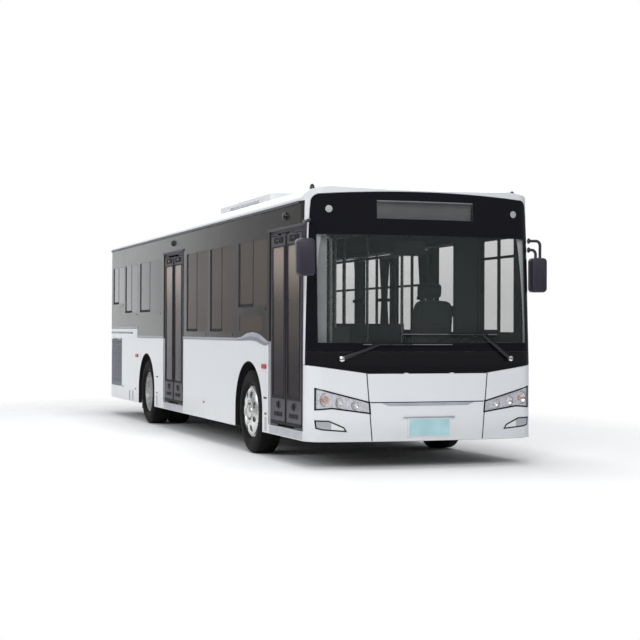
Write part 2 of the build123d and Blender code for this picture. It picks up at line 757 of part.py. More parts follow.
# Radiator flap on the kerb side: frame with slats, hung at its top edge
slat_pitch = 34
slat_height = 16
slat_depth = 12
flap_frame = 40
flap_thickness = 24
with BuildPart() as radiator_flap:
    flap_outer = pane_recess - half_width
    add(bay(grille_start + hatch_gap, grille_end - hatch_gap, flap_outer, flap_outer + flap_thickness,
            grille_low_z + hatch_gap, grille_high_z - hatch_gap))
    add(bay(grille_start + hatch_gap + flap_frame, grille_end - hatch_gap - flap_frame,
            flap_outer - overrun,
            flap_outer + overrun, grille_low_z + hatch_gap + flap_frame,
            grille_high_z - hatch_gap - flap_frame),
        mode=Mode.SUBTRACT)
    opening = grille_high_z - grille_low_z - 2 * (hatch_gap + flap_frame)
    slats = int(opening / slat_pitch)
    for row in range(slats):
        low = grille_low_z + hatch_gap + flap_frame + (row + 0.5) * opening / slats - slat_height / 2
        add(bay(grille_start + flap_frame, grille_end - flap_frame, flap_outer + pane_recess,
                flap_outer + pane_recess + slat_depth, low, low + slat_height))
    add(hinge(flap_hinges, (1, 0, 0), hinge_radius, hinge_leaf, True))
save(radiator_flap, "radiator_flap")


# Doors. A post at each jamb turns; its arms swing the middle of the leaf inwards, while a roller at the
# leaf's leading edge runs along a track under the header, so the leaf ends square to the opening.
leaf_width = (door_width - 2 * (post_edge_gap + 2 * post_radius + leaf_post_gap) - leaf_meeting_gap) / 2
post_reach = leaf_width - leaf_lead + leaf_post_gap + post_radius
arm_length = post_reach / 2
low_arm_z = (floor_z + arm_gap, floor_z + arm_gap + arm_thickness)
leaf_low_z = low_arm_z[1] + arm_gap
track_low_z = door_top_z - track_depth
high_arm_z = (track_low_z - arm_gap - arm_thickness, track_low_z - arm_gap)
leaf_high_z = high_arm_z[0] - arm_gap
leaves = [(name, "fore" if way > 0 else "aft", way) for name in door_starts for way in (1, -1)]


def post_station(name, way):
    start = door_starts[name]
    jamb = start if way > 0 else start + door_width
    return jamb + way * (post_edge_gap + post_radius)


def upright(x, station, radius, low, high):
    """Vertical round bar."""
    with BuildPart() as bar:
        with Locations((x, at(station), (low + high) / 2)):
            Cylinder(radius, high - low)
    return bar.part


for name, end, way in leaves:
    post_s = post_station(name, way)
    pivot_s = post_s + way * arm_length
    guide_s = post_s + way * post_reach
    with BuildPart() as post:
        add(upright(leaf_x, post_s, post_radius, floor_z + seat_gap, door_top_z - seat_gap))
        for low, high in (low_arm_z, high_arm_z):
            stations = sorted((post_s, pivot_s))
            add(bay(stations[0], stations[1], leaf_x - arm_width / 2, leaf_x + arm_width / 2, low, high))
            add(upright(leaf_x, pivot_s, arm_width / 2, low, high))
            add(upright(leaf_x, pivot_s, pin_radius + pin_gap, low, high), mode=Mode.SUBTRACT)
    save(post, f"{name}_door_{end}_post")

    trailing = post_s + way * (post_radius + leaf_post_gap)
    leading = trailing + way * leaf_width
    edges = sorted((trailing, leading))
    glass_edges = (edges[0] + leaf_stile, edges[1] - leaf_stile)
    outer_x = leaf_x - leaf_thickness / 2
    with BuildPart() as leaf:
        add(bay(edges[0], edges[1], outer_x, outer_x + leaf_thickness, leaf_low_z, leaf_high_z))
        add(bay(glass_edges[0] + rebate, glass_edges[1] - rebate, outer_x - overrun, outer_x + overrun,
                leaf_glass_low + rebate, leaf_glass_high - rebate), mode=Mode.SUBTRACT)
        add(bay(glass_edges[0], glass_edges[1], outer_x - overrun,
                outer_x + pane_recess + door_glass + seat_gap,
                leaf_glass_low, leaf_glass_high), mode=Mode.SUBTRACT)
        for low, high in ((low_arm_z[0], leaf_low_z), (leaf_high_z, high_arm_z[1])):
            add(upright(leaf_x, pivot_s, pin_radius, low, high))
        add(upright(leaf_x, guide_s, roller_radius, leaf_high_z, door_top_z - track_wall - pin_gap))
    save(leaf, f"{name}_door_{end}_leaf")

    with BuildPart() as leaf_glass:
        add(bay(glass_edges[0] + seat_gap, glass_edges[1] - seat_gap, outer_x + pane_recess,
                outer_x + pane_recess + door_glass, leaf_glass_low + seat_gap, leaf_glass_high - seat_gap))
    save(leaf_glass, f"{name}_door_{end}_glass")

# Tracks for the leaves' rollers under both headers
track_half = roller_radius + track_play
with BuildPart() as door_tracks:
    for start in door_starts.values():
        ends = (start + 2 * (post_edge_gap + post_radius),
                start + door_width - 2 * (post_edge_gap + post_radius))
        add(bay(ends[0], ends[1], leaf_x - track_half - track_wall, leaf_x + track_half + track_wall,
                track_low_z,
                door_top_z))
        add(bay(ends[0] - overrun, ends[1] + overrun, leaf_x - track_half, leaf_x + track_half,
                track_low_z - overrun, door_top_z - track_wall), mode=Mode.SUBTRACT)
save(door_tracks, "door_tracks")

# Axles
beam_low_z = 195
beam_high_z = 262
beam_half = 55
goose_x = 720
eye_z = (axle_z - 75, axle_z + 75)
with BuildPart() as front_axle:
    station = axle_stations["front"]
    add(bay(station - beam_half, station + beam_half, -goose_x - beam_half, goose_x + beam_half, beam_low_z,
            beam_high_z))
    for side in (-1, 1):
        edges = sorted((side * (goose_x - beam_half), side * (goose_x + beam_half)))
        add(bay(station - beam_half, station + beam_half, edges[0], edges[1], beam_low_z, eye_z[1]))
        edges = sorted((side * goose_x, side * kingpin_x))
        add(bay(station - beam_half, station + beam_half, edges[0], edges[1], eye_z[0], eye_z[1]))
        add(upright(side * kingpin_x, station, beam_half, eye_z[0], eye_z[1]))
        add(upright(side * kingpin_x, station, kingpin_radius + pin_gap, eye_z[0], eye_z[1]),
            mode=Mode.SUBTRACT)
        add(upright(side * rail_x, station, beam_half, beam_high_z - tube / 2,
                    low_rail_z - tube - seat_gap))
save(front_axle, "front_axle")


def lying(station, z, radius, first, last):
    """Round bar across the bus."""
    with BuildPart() as bar:
        with BuildSketch(Plane.YZ.offset(min(first, last))):
            with Locations((at(station), z)):
                Circle(radius)
        extrude(amount=abs(last - first))
    return bar.part


rear_tube_radius = 78
differential_radius = 175
differential_depth = 260
flange_x = 590
hub_end_x = 1053
with BuildPart() as rear_axle:
    station = axle_stations["rear"]
    add(lying(station, axle_z, rear_tube_radius, -flange_x, flange_x))
    with Locations((0, at(station), axle_z)):
        Cylinder(differential_radius, differential_depth, rotation=(90, 0, 0))
    fillet(rear_axle.faces().filter_by(Axis.Y).edges(), tube)
    for side in (-1, 1):
        add(lying(station, axle_z, spindle_radius, side * flange_x, side * hub_end_x))
        add(upright(side * rail_x, station, beam_half, axle_z, rear_rail_z - 2 * tube - seat_gap))
save(rear_axle, "rear_axle")

# Steering knuckles: yoke lugs above and below the beam's eye, the kingpin and the spindle
lug_thickness = 30
yoke_reach = 70
yoke_x = kingpin_x + yoke_reach
for side in (-1, 1):
    station = axle_stations["front"]
    with BuildPart() as knuckle:
        add(upright(side * kingpin_x, station, kingpin_radius, eye_z[0] - lug_thickness,
                    eye_z[1] + lug_thickness))
        for low, high in ((eye_z[0] - lug_thickness, eye_z[0] - seat_gap),
                          (eye_z[1] + seat_gap, eye_z[1] + lug_thickness)):
            add(upright(side * kingpin_x, station, beam_half, low, high))
            edges = sorted((side * kingpin_x, side * yoke_x))
            add(bay(station - beam_half, station + beam_half, edges[0], edges[1], low, high))
        edges = sorted((side * (yoke_x - pane_lip), side * (yoke_x + pane_lip)))
        add(bay(station - beam_half, station + beam_half, edges[0], edges[1], eye_z[0] - lug_thickness,
                eye_z[1] + lug_thickness))
        add(lying(station, axle_z, spindle_radius, side * yoke_x, side * (wheel_outer_x - tube)))
    save(knuckle, f"{wheel_side(side)}_knuckle")


# Wheels: tyre and rim profiles turned about the axle
def turned(points, station, plane_z=axle_z):
    """Ring turned about an axle, from (across, radius) points."""
    with BuildPart() as ring:
        with BuildSketch(Plane.XY.offset(plane_z)):
            with BuildLine():
                Polyline(*[(x, at(station) + r) for x, r in points], close=True)
            make_face()
        revolve(axis=Axis((0, at(station), plane_z), (1, 0, 0)))
    return ring.part


tread_crown = 8
shoulder_drop = 26
bead_width = 190
bulge = 10


def tyre_points(outer, side):
    """Section of one tyre, from its outer face inwards."""
    def x(inward):
        return side * (outer - inward)
    middle = tyre_width / 2
    low = (tyre_width - bead_width) / 2
    side_r = (tyre_radius + rim_radius) / 2
    return [(x(low), rim_radius), (x(bulge / 2), rim_radius + 2 * shoulder_drop), (x(0), side_r),
            (x(bulge / 2), tyre_radius - 2 * shoulder_drop), (x(shoulder_drop), tyre_radius - tread_crown),
            (x(middle), tyre_radius), (x(tyre_width - shoulder_drop), tyre_radius - tread_crown),
            (x(tyre_width - bulge / 2), tyre_radius - 2 * shoulder_drop), (x(tyre_width), side_r),
            (x(tyre_width - bulge / 2), rim_radius + 2 * shoulder_drop), (x(tyre_width - low), rim_radius)]


rim_lip = 14
disc_thickness = 12
hand_hole_count = 8
hand_hole_radius = 26
hand_hole_ring = 190
lug_count = 10
lug_ring = 142
lug_radius = 15
lug_length = 26
hub_length = 110
hub_gap = 0.3


def rim_points(outer, side, width, disc, hub_out):
    """Section of a rim with its disc and hub: lip, barrel, disc at a depth and hub sleeve on the spindle."""
    def x(inward):
        return side * (outer - inward)
    low = (tyre_width - bead_width) / 2
    bore = spindle_radius + hub_gap
    face = rim_radius - seat_gap
    return [(x(low), face), (x(low - rim_lip / 2), face), (x(low - rim_lip / 2), face - rim_wall),
            (x(disc), rim_radius - 2 * rim_wall), (x(disc), hub_radius),
            (x(hub_out), hub_radius - rim_wall),
            (x(hub_out), bore), (x(disc + hub_length), bore), (x(disc + hub_length), hub_radius),
            (x(disc + disc_thickness), hub_radius), (x(disc + disc_thickness), rim_radius - 3 * rim_wall),
            (x(width - low), face - rim_wall), (x(width - low), face)]


def wheel_discs(station, side, outer, disc):
    """Hand holes for a disc, as a part to cut away."""
    with BuildPart() as holes:
        with BuildSketch(Plane.YZ.offset(side * (outer - disc) - overrun)):
            with Locations((at(station), axle_z)):
                with PolarLocations(hand_hole_ring, hand_hole_count):
                    Circle(hand_hole_radius)
        extrude(amount=2 * overrun)
    return holes.part


def wheel_lugs(station, side, face_x):
    """Ring of nuts standing out of a disc's face."""
    with BuildPart() as nuts:
        with BuildSketch(Plane.YZ.offset(min(side * face_x, side * (face_x + lug_length)))):
            with Locations((at(station), axle_z)):
                with PolarLocations(lug_ring, lug_count):
                    RegularPolygon(lug_radius, 6)
        extrude(amount=lug_length)
    return nuts.part


front_disc = 40
rear_disc = 168
twin_outer_x = wheel_outer_x - tyre_width - twin_gap
twin_width = 2 * tyre_width + twin_gap
for side in (-1, 1):
    name = wheel_side(side)
    station = axle_stations["front"]
    with BuildPart() as front_tyre:
        add(turned(tyre_points(wheel_outer_x, side), station))
    save(front_tyre, f"front_{name}_tyre")
    with BuildPart() as front_rim:
        add(turned(rim_points(wheel_outer_x, side, tyre_width, front_disc, front_disc - lug_length),
                   station))
        add(wheel_discs(station, side, wheel_outer_x, front_disc), mode=Mode.SUBTRACT)
        add(wheel_lugs(station, side, wheel_outer_x - front_disc))
    save(front_rim, f"front_{name}_rim")

    station = axle_stations["rear"]
    with BuildPart() as rear_tyres:
        add(turned(tyre_points(wheel_outer_x, side), station))
        add(turned(tyre_points(twin_outer_x, side), station))
    save(rear_tyres, f"rear_{name}_tyres")
    with BuildPart() as rear_rims:
        add(turned(rim_points(wheel_outer_x, side, twin_width, rear_disc, rear_disc - 2 * lug_length),
                   station))
        add(wheel_discs(station, side, wheel_outer_x, rear_disc), mode=Mode.SUBTRACT)
        add(wheel_lugs(station, side, wheel_outer_x - rear_disc))
    save(rear_rims, f"rear_{name}_rims")

# Mirrors: bent tube arms with a rounded head on each side
mirror_reach = 1437.5
mirror_corner = 28
mirror_arm_radius = 13
mirror_bend = 39
mirror_root_s = 270
arm_spread = 50
# Columns: side, width of the head, its station, its middle height, heights where its arms meet the body
mirror_heads = [(-1, mirror_head[0], mirror_s, 2100, [2465]), (1, 175, 250, 1975, [2335, 2240])]
with BuildPart() as mirrors:
    for side, width, head_s, middle_z, bends in mirror_heads:
        with Locations((side * (mirror_reach - width / 2), at(head_s), middle_z)):
            Box(width, mirror_head[1], mirror_head[2])
    fillet(mirrors.edges().filter_by(Axis.Z), mirror_corner)
    for side, width, head_s, middle_z, bends in mirror_heads:
        foot_z = middle_z + mirror_head[2] / 2 - mirror_corner
        for rank, bend_z in enumerate(bends):
            x = side * (mirror_reach - width / 2 + ((len(bends) - 1) / 2 - rank) * arm_spread)
            with BuildPart(mode=Mode.PRIVATE) as arm:
                with BuildLine():
                    FilletPolyline((x, at(head_s), foot_z), (x, at(head_s), bend_z),
                                   (side * (half_width - wall), at(mirror_root_s), bend_z),
                                   radius=mirror_bend)
                with BuildSketch(Plane.XY.offset(foot_z)):
                    with Locations((x, at(head_s))):
                        Circle(mirror_arm_radius)
                sweep()
            add(arm.part)
    add(body_block(belt_z, gutter_z, -seat_gap), mode=Mode.SUBTRACT)
save(mirrors, "mirrors")

# Wipers: arm and blade follow the glass
# Columns: side, arm as (x, z) points, blade as (first x, last x, z)
wiper_pivot_x = 920
wiper_pivot_z = 1100
blade_height = 16
wiper_stand = 12
wiper_thickness = 14
wiper_cap_radius = 34
blade_overhang_share = 1.2
arm_tip_share = 1 / 3
with BuildPart() as wipers:
    arm_layer = shell(rake_z, brow_z - overrun, -wiper_stand - 2 * wiper_thickness,
                      -wiper_stand - wiper_thickness)
    blade_layer = shell(rake_z, brow_z - overrun, -wiper_stand - wiper_thickness - seat_gap, -seat_gap)
    cap_layer = shell(rake_z, brow_z - overrun, -wiper_stand - 2 * wiper_thickness, -seat_gap)
    for side, elbow_x, blade_z, blade_end in ((-1, 580, 1236, 250), (1, 640, 1340, 300)):
        elbow = (side * elbow_x, blade_z + blade_height / 2)
        arm = facing([(side * (wiper_pivot_x + blade_height), wiper_pivot_z),
                      (elbow[0], elbow[1] + blade_height),
                      (side * elbow_x * arm_tip_share, elbow[1] + blade_height / 2),
                      (side * elbow_x * arm_tip_share, elbow[1]),
                      (elbow[0], elbow[1]), (side * (wiper_pivot_x - blade_height), wiper_pivot_z)])
        blade = facing([(side * elbow_x * blade_overhang_share, blade_z), (-side * blade_end, blade_z),
                        (-side * blade_end, blade_z + blade_height),
                        (side * elbow_x * blade_overhang_share, blade_z + blade_height)])
        add(arm_layer & front_prism(arm))
        add(blade_layer & front_prism(blade))
        with BuildSketch(Plane.XZ.offset(overrun - front_y)) as cap:
            with Locations((side * wiper_pivot_x, wiper_pivot_z)):
                Circle(wiper_cap_radius)
        add(cap_layer & front_prism(cap.sketch))
save(wipers, "wipers")

# Air conditioner and escape hatches on the roof
ac_x = 850
ac_stations = (2700, 4980)
ac_z = 3050
ac_step_z = 2975
ac_step = 380
ac_side_step = 127
ac_radius = 60
with BuildPart() as air_conditioner:
    add(bay(ac_stations[0], ac_stations[1], -ac_x, ac_x, gutter_z + 2 * roof_wall, ac_step_z))
    add(bay(ac_stations[0] + ac_step, ac_stations[1] - ac_step, ac_side_step - ac_x, ac_x - ac_side_step,
            ac_step_z, ac_z))
    fillet(air_conditioner.edges().filter_by(Axis.Z), ac_radius)
    fillet(air_conditioner.faces().sort_by(Axis.Z)[-1].edges(), ac_radius / 2)
    add(roof_block(-seat_gap), mode=Mode.SUBTRACT)
save(air_conditioner, "air_conditioner")

hatch_size = 640
hatch_rise = 45
rear_hatch_lead = 1920
with BuildPart() as roof_hatches:
    for station in (middle_door_start + door_width / 2, body_length - rear_hatch_lead):
        add(bay(station - hatch_size / 2, station + hatch_size / 2, -hatch_size / 2, hatch_size / 2,
                roof_z - overrun, roof_z + hatch_rise))
    fillet(roof_hatches.edges().filter_by(Axis.Z), ac_radius)
    add(roof_block(-seat_gap), mode=Mode.SUBTRACT)
save(roof_hatches, "roof_hatches")

# Driver's place
dash_start = 220
dash_end = 640
dash_z = 1120
dash_x = (-420, 1090)
dash_knee = 520
dash_crest = 320
dash_edge_z = 1020
dash_lip_z = 920
dash_knee_z = 820
dash_belly_z = 720
seat_s = 1330
seat_x = 700
wheel_s = 900
wheel_z = 1240
steering_radius = 225


def side_profile(points, x, width, corner):
    """Solid drawn as a side view through (station, height) points, with its corners rounded."""
    with BuildPart() as solid:
        with BuildSketch(Plane.YZ.offset(x - width / 2)) as outline:
            with BuildLine():
                Polyline(*[(at(station), z) for station, z in points], close=True)
            make_face()
            if corner:
                fillet(outline.vertices(), corner)
        extrude(amount=width)
    return solid.part


with BuildPart() as dashboard:
    add(side_profile([(nose_end, floor_z), (nose_end, dash_belly_z), (dash_start, dash_lip_z),
                      (dash_start, dash_edge_z), (dash_crest, dash_z), (dash_end, dash_edge_z),
                      (dash_end, dash_lip_z), (dash_knee, dash_knee_z), (dash_knee, floor_z)],
                     (dash_x[0] + dash_x[1]) / 2, dash_x[1] - dash_x[0], 0))
save(dashboard, "dashboard")

cushion = 100
seat_depth = 430
backrest = 70
seat_corner = 22
driver_seat_z = 980
driver_back = 720
back_tilt = 90
headrest = (230, 90, 200)
driver_width = 480
pedestal = 240


def seat_outline(station, base_z, height, lean):
    """Side view of a seat facing forward: cushion and leaning back in one shell."""
    front = station - seat_depth / 2
    rear = station + seat_depth / 2
    return [(front, base_z - cushion), (rear, base_z - cushion),
            (rear + backrest / 2, base_z - cushion / 2),
            (rear + backrest / 2 + lean, base_z + height), (rear - backrest / 2 + lean, base_z + height),
            (rear - backrest / 2, base_z), (front, base_z)]


with BuildPart() as driver_seat:
    add(side_profile(seat_outline(seat_s, driver_seat_z, driver_back, back_tilt), seat_x, driver_width,
                     seat_corner))
    head_s = seat_s + seat_depth / 2 + back_tilt
    add(bay(head_s - headrest[1] / 2, head_s + headrest[1] / 2, seat_x - headrest[0] / 2,
            seat_x + headrest[0] / 2,
            driver_seat_z + driver_back - seat_corner, driver_seat_z + driver_back + headrest[2]))
    add(bay(seat_s - pedestal / 2, seat_s + pedestal / 2, seat_x - pedestal / 2, seat_x + pedestal / 2,
            floor_z + seat_gap, driver_seat_z - cushion))
save(driver_seat, "driver_seat")

# Steering wheel on its column, which stands on the floor behind the dashboard
column_radius = 30
wheel_tube = 15
wheel_tilt = 24
spoke_width = 34
spoke_count = 3
column_length = (wheel_z - floor_z) / cos(radians(wheel_tilt)) - column_radius
steering_plane = Plane(origin=(seat_x, at(wheel_s), wheel_z), x_dir=(1, 0, 0),
                       z_dir=(0, sin(radians(wheel_tilt)), cos(radians(wheel_tilt))))
with BuildPart() as steering_wheel:
    with BuildSketch(steering_plane):
        with PolarLocations(steering_radius / 2, spoke_count, start_angle=-90):
            Rectangle(steering_radius, spoke_width)
        Circle(hub_radius)
    extrude(amount=-wheel_tube)
    with BuildSketch(Plane(origin=steering_plane.origin, x_dir=(1, 0, 0), z_dir=-steering_plane.y_dir)):
        with Locations((steering_radius, 0)):
            Circle(wheel_tube)
    revolve(axis=Axis(steering_plane.origin, steering_plane.z_dir))
    with BuildSketch(steering_plane):
        Circle(column_radius)
    extrude(amount=-column_length - overrun)
    add(bay(dash_knee + seat_gap, wheel_s + steering_radius + overrun, seat_x - steering_radius - overrun,
            seat_x + steering_radius + overrun, floor_z + seat_gap, wheel_z + steering_radius + overrun),
        mode=Mode.INTERSECT)
save(steering_wheel, "steering_wheel")

# Passenger seats in pairs on legs, and a bench over the engine
pair_width = 880
pair_x = 740
seat_z = 480
seat_pitch = 780
knee_room = 500
seat_back = 620
seat_lean = 60
leg = 60
fore_row_start = front_overhang + housing_half + knee_room
aft_row_start = step_start + seat_depth / 2 + leg
bench_start = engine_start + wall
# Columns: side, first row, rows, floor height
seat_blocks = [(-1, fore_row_start, 3, floor_z), (1, fore_row_start, 4, floor_z),
               (-1, aft_row_start, 3, rear_floor_z), (1, aft_row_start, 3, rear_floor_z)]
with BuildPart() as passenger_seats:
    for side, first, count, base in seat_blocks:
        for row in range(count):
            station = first + row * seat_pitch
            add(side_profile(seat_outline(station, base + seat_z, seat_back, seat_lean), side * pair_x,
                             pair_width, 0))
            add(bay(station - leg / 2, station + leg / 2, side * pair_x - leg / 2, side * pair_x + leg / 2,
                    base + seat_gap, base + seat_z - cushion)
                - arch(axle_stations["rear"], side, housing_half + seat_gap, rear_housing_x, floor_half,
                       floor_z))
    add(side_profile(seat_outline(bench_start + seat_depth / 2, hood_z + cushion + seat_gap, seat_back,
                                  seat_lean),
                     0, 2 * (floor_half - leg), 0))
save(passenger_seats, "passenger_seats")

# Hand rails: two rails below the ceiling with poles from the floor
pole_radius = 17
pole_x = 450
hand_rail_z = 2250
pole_lag = 440
pole_margin = 150
pole_lead = 400
pole_stations = {-1: [front_door_end + pole_margin], 1: [front_overhang - pole_lead]}
for side, first, count, base in seat_blocks:
    pole_stations[side] += [first - pole_lag / 2 - seat_depth / 3] if base == floor_z else []
    pole_stations[side] += [first + row * seat_pitch + pole_lag for row in range(count)]
ceiling = roof_block(roof_wall + seat_gap)
with BuildPart() as handrails:
    for side, stations in pole_stations.items():
        for station in stations:
            base = floor_z if station < step_start else rear_floor_z
            add(upright(side * pole_x, station, pole_radius, base + seat_gap, gutter_z))
            add(upright(side * pole_x, station, pole_radius, gutter_z - wall, roof_z) & ceiling)
        with BuildSketch(Plane.XZ.offset(-at(max(stations)))):
            with Locations((side * pole_x, hand_rail_z)):
                Circle(pole_radius)
        extrude(amount=max(stations) - min(stations))
save(handrails, "handrails")

# Small fittings on the sides: mud flaps, marker lamps, drip rails and domes over the doors
flap_low_z = 190
flap_x = (930, 1190)
flap_thick = 8
with BuildPart() as mud_flaps:
    for station in axle_stations.values():
        for side in (-1, 1):
            edges = sorted((side * flap_x[0], side * flap_x[1]))
            add(bay(station + housing_half - flap_thick, station + housing_half, edges[0], edges[1],
                    flap_low_z,
                    low_rail_z - seat_gap))
save(mud_flaps, "mud_flaps")

marker_size = (90, 12, 34)
marker_z = 990
reflector_size = (60, 6, 22)
reflector_z = 480
drip = 12
drip_start = 400
drip_height = 26
camera_radius = 42
camera_depth = 34
camera_rim = 4
camera_z = 2568
# Shares of the body's length
marker_share = [0.154, 0.791]
reflector_share = [0.1486, 0.403, 0.659, 0.802, 0.8925]
with BuildPart() as marker_lamps:
    for side in (-1, 1):
        for share in marker_share:
            with Locations((side * (half_width + seat_gap + marker_size[1] / 2), at(share * body_length),
                            marker_z)):
                Box(marker_size[1], marker_size[0], marker_size[2])
        for share in reflector_share:
            with Locations((side * (half_width + seat_gap + reflector_size[1] / 2), at(share * body_length),
                            reflector_z)):
                Box(reflector_size[1], reflector_size[0], reflector_size[2])
save(marker_lamps, "marker_lamps")

with BuildPart() as drip_rails:
    for side in (-1, 1):
        edges = sorted((side * (half_width + seat_gap), side * (half_width + drip)))
        add(bay(drip_start, tail_start, edges[0], edges[1], gutter_z - drip_height, gutter_z))
save(drip_rails, "drip_rails")

with BuildPart() as door_domes:
    for start in door_starts.values():
        with Locations((-half_width - seat_gap - camera_depth / 2, at(start + door_width / 2), camera_z)):
            Cylinder(camera_radius, camera_depth, rotation=(0, 90, 0))
    rims = door_domes.faces().sort_by(Axis.X)[:len(door_starts)].edges()
    fillet(rims, camera_depth - camera_rim)
save(door_domes, "door_domes")
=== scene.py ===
"""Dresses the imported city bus: paint, glass, trim, lamps, seats, light and camera.

Metres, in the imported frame: +Z is up, the front faces -Y and the doors are on the -X side.
A station is a distance behind the middle of the front face.
"""
import json
from math import cos, exp, pi, radians, sin, sqrt

import bmesh
import bpy
from mathutils import Matrix, Vector


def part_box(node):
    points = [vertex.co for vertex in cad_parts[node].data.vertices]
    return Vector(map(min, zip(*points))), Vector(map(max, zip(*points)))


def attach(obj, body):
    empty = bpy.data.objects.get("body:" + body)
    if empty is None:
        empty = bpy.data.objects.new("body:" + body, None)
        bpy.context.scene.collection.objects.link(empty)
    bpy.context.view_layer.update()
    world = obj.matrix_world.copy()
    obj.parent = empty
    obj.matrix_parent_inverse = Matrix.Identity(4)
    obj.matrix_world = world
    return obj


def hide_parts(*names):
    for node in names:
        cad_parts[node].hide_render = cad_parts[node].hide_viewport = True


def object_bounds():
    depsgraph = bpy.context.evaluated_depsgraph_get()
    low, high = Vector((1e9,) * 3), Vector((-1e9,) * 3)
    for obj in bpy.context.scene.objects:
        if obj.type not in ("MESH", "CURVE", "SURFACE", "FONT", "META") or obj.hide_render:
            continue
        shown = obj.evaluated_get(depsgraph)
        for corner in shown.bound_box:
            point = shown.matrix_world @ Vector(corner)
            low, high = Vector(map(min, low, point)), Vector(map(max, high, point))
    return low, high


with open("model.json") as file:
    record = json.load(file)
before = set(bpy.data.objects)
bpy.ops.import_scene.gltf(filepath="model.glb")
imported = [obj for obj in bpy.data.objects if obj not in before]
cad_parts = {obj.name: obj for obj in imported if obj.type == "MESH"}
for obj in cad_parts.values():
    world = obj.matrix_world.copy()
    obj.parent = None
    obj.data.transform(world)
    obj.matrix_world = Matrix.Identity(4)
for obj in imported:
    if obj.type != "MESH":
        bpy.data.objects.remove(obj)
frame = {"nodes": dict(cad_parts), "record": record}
nodes = frame["nodes"]
cad_low, cad_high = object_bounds()

half_width = 1.25
front_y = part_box("side_skirts")[0][1] - 0.304
axle_z = 0.47
wheel_stations = {"front": 2.23, "rear": 7.63}
wheel_outer_x = 1.235
door_starts = {"front": 0.30, "middle": 5.36}
door_width = 1.13
window_head_z = 2.390
floor_top = 0.3705
arch_z = 0.49
skin_lift = 0.0003
# Columns: first station, last station, sill height, station of the divider
kerb_windows = [(1.520, 2.660, 1.640, 2.07), (2.841, 3.949, 1.360, 3.40), (4.071, 5.160, 1.360, 4.62),
                (6.652, 8.103, 1.640, 7.43), (8.266, 9.215, 1.640, 8.75), (9.308, 10.199, 1.790, 9.77)]
road_windows = [(0.503, 1.396, 1.360, 0.93)] + kerb_windows + [(5.383, 6.467, 1.360, 5.92)]
small_window = (1.689, 2.621, 1.360, 1.560)
# Nose seams: half widths and heights at the ends of the slanted joints, and the joint under the hatch
split_x = (0.605, 0.661)
split_z = (0.284, 0.950)
hatch_seam_z = 0.6643
seam = 0.010


def at(station):
    return front_y + station


# Shading: sums on a socket add nodes to its material

class Shade:
    """A value or colour inside one material."""

    def __init__(self, paint, socket):
        self.paint = paint
        self.socket = socket

    def math(self, operation, first, second):
        return self.paint.node("ShaderNodeMath", {"operation": operation}, [first, second])

    def __add__(self, other):
        return self.math("ADD", self, other)

    def __sub__(self, other):
        return self.math("SUBTRACT", self, other)

    def __rsub__(self, other):
        return self.math("SUBTRACT", other, self)

    def __mul__(self, other):
        return self.math("MULTIPLY", self, other)

    def __abs__(self):
        return self.math("ABSOLUTE", self, 0)

    def wave(self):
        return self.math("SINE", self, 0)

    def root(self):
        return self.math("SQRT", self, 0)

    def over(self, other):
        return self.math("MAXIMUM", self, other)

    def rise(self, low, high):
        """0 below low, 1 above high, smooth between; falls where low is the larger."""
        return self.paint.node("ShaderNodeMapRange", {"interpolation_type": "SMOOTHSTEP"},
                               {"Value": self, "From Min": low, "From Max": high})

    def within(self, low, high, edge):
        return self.rise(low - edge, low + edge) * self.rise(high + edge, high - edge)


class Graph:
    """Nodes of a material, of the world or of a modifier."""

    def __init__(self, tree):
        self.tree = tree

    def plug(self, socket, value):
        if isinstance(value, Shade):
            self.tree.links.new(value.socket, socket)
        else:
            socket.default_value = value

    def node(self, kind, settings, values=(), output=0):
        """Adds a node: its settings first, then the values or links of its sockets."""
        node = self.tree.nodes.new(kind)
        for key, value in settings.items():
            setattr(node, key, value)
        pairs = values.items() if isinstance(values, dict) else enumerate(values)
        for key, value in pairs:
            self.plug(node.inputs[key], value)
        return Shade(self, node.outputs[output])

    def outputs(self, kind, values=()):
        """All outputs of a new node."""
        return [Shade(self, socket) for socket in self.node(kind, {}, values).socket.node.outputs]

    def end(self, kind, value):
        self.tree.links.new(value.socket, self.tree.nodes.new(kind).inputs[0])


class Paint(Graph):
    """One finish of the bus, on a Principled shader."""

    def __init__(self, name, colour, **settings):
        self.material = bpy.data.materials.new(name)
        self.material.use_nodes = True
        super().__init__(self.material.node_tree)
        self.shader = self.tree.nodes["Principled BSDF"]
        self.set("Base Color", (*colour, 1))
        for key, value in settings.items():
            self.set(key.replace("_", " ").title().replace("Ior", "IOR"), value)

    def set(self, key, value):
        self.plug(self.shader.inputs[key], value)

    def place(self):
        return self.node("ShaderNodeTexCoord", {}, output=3)

    def axes(self):
        return self.outputs("ShaderNodeSeparateXYZ", [self.place()])

    def noise(self, scale, detail):
        return self.node("ShaderNodeTexNoise", {}, {"Vector": self.place(), "Scale": scale, "Detail": detail})

    def blend(self, factor, first, second):
        colours = [(*c, 1) if isinstance(c, tuple) else c for c in (first, second)]
        return self.node("ShaderNodeMix", {"data_type": "RGBA"}, {0: factor, 6: colours[0], 7: colours[1]}, 2)

    def finish(self, colour, rough, height=None, strength=0.2, distance=0.001, alpha=None):
        """Plugs in what varies over the surface and gives back the material."""
        for key, value in (("Base Color", colour), ("Roughness", rough), ("Alpha", alpha)):
            if value is not None:
                self.set(key, value)
        if height is not None:
            self.set("Normal", self.node("ShaderNodeBump", {},
                                         {"Height": height, "Strength": strength, "Distance": distance}))
        return self.material


def darker(colour, share):
    return tuple(share * c for c in colour)


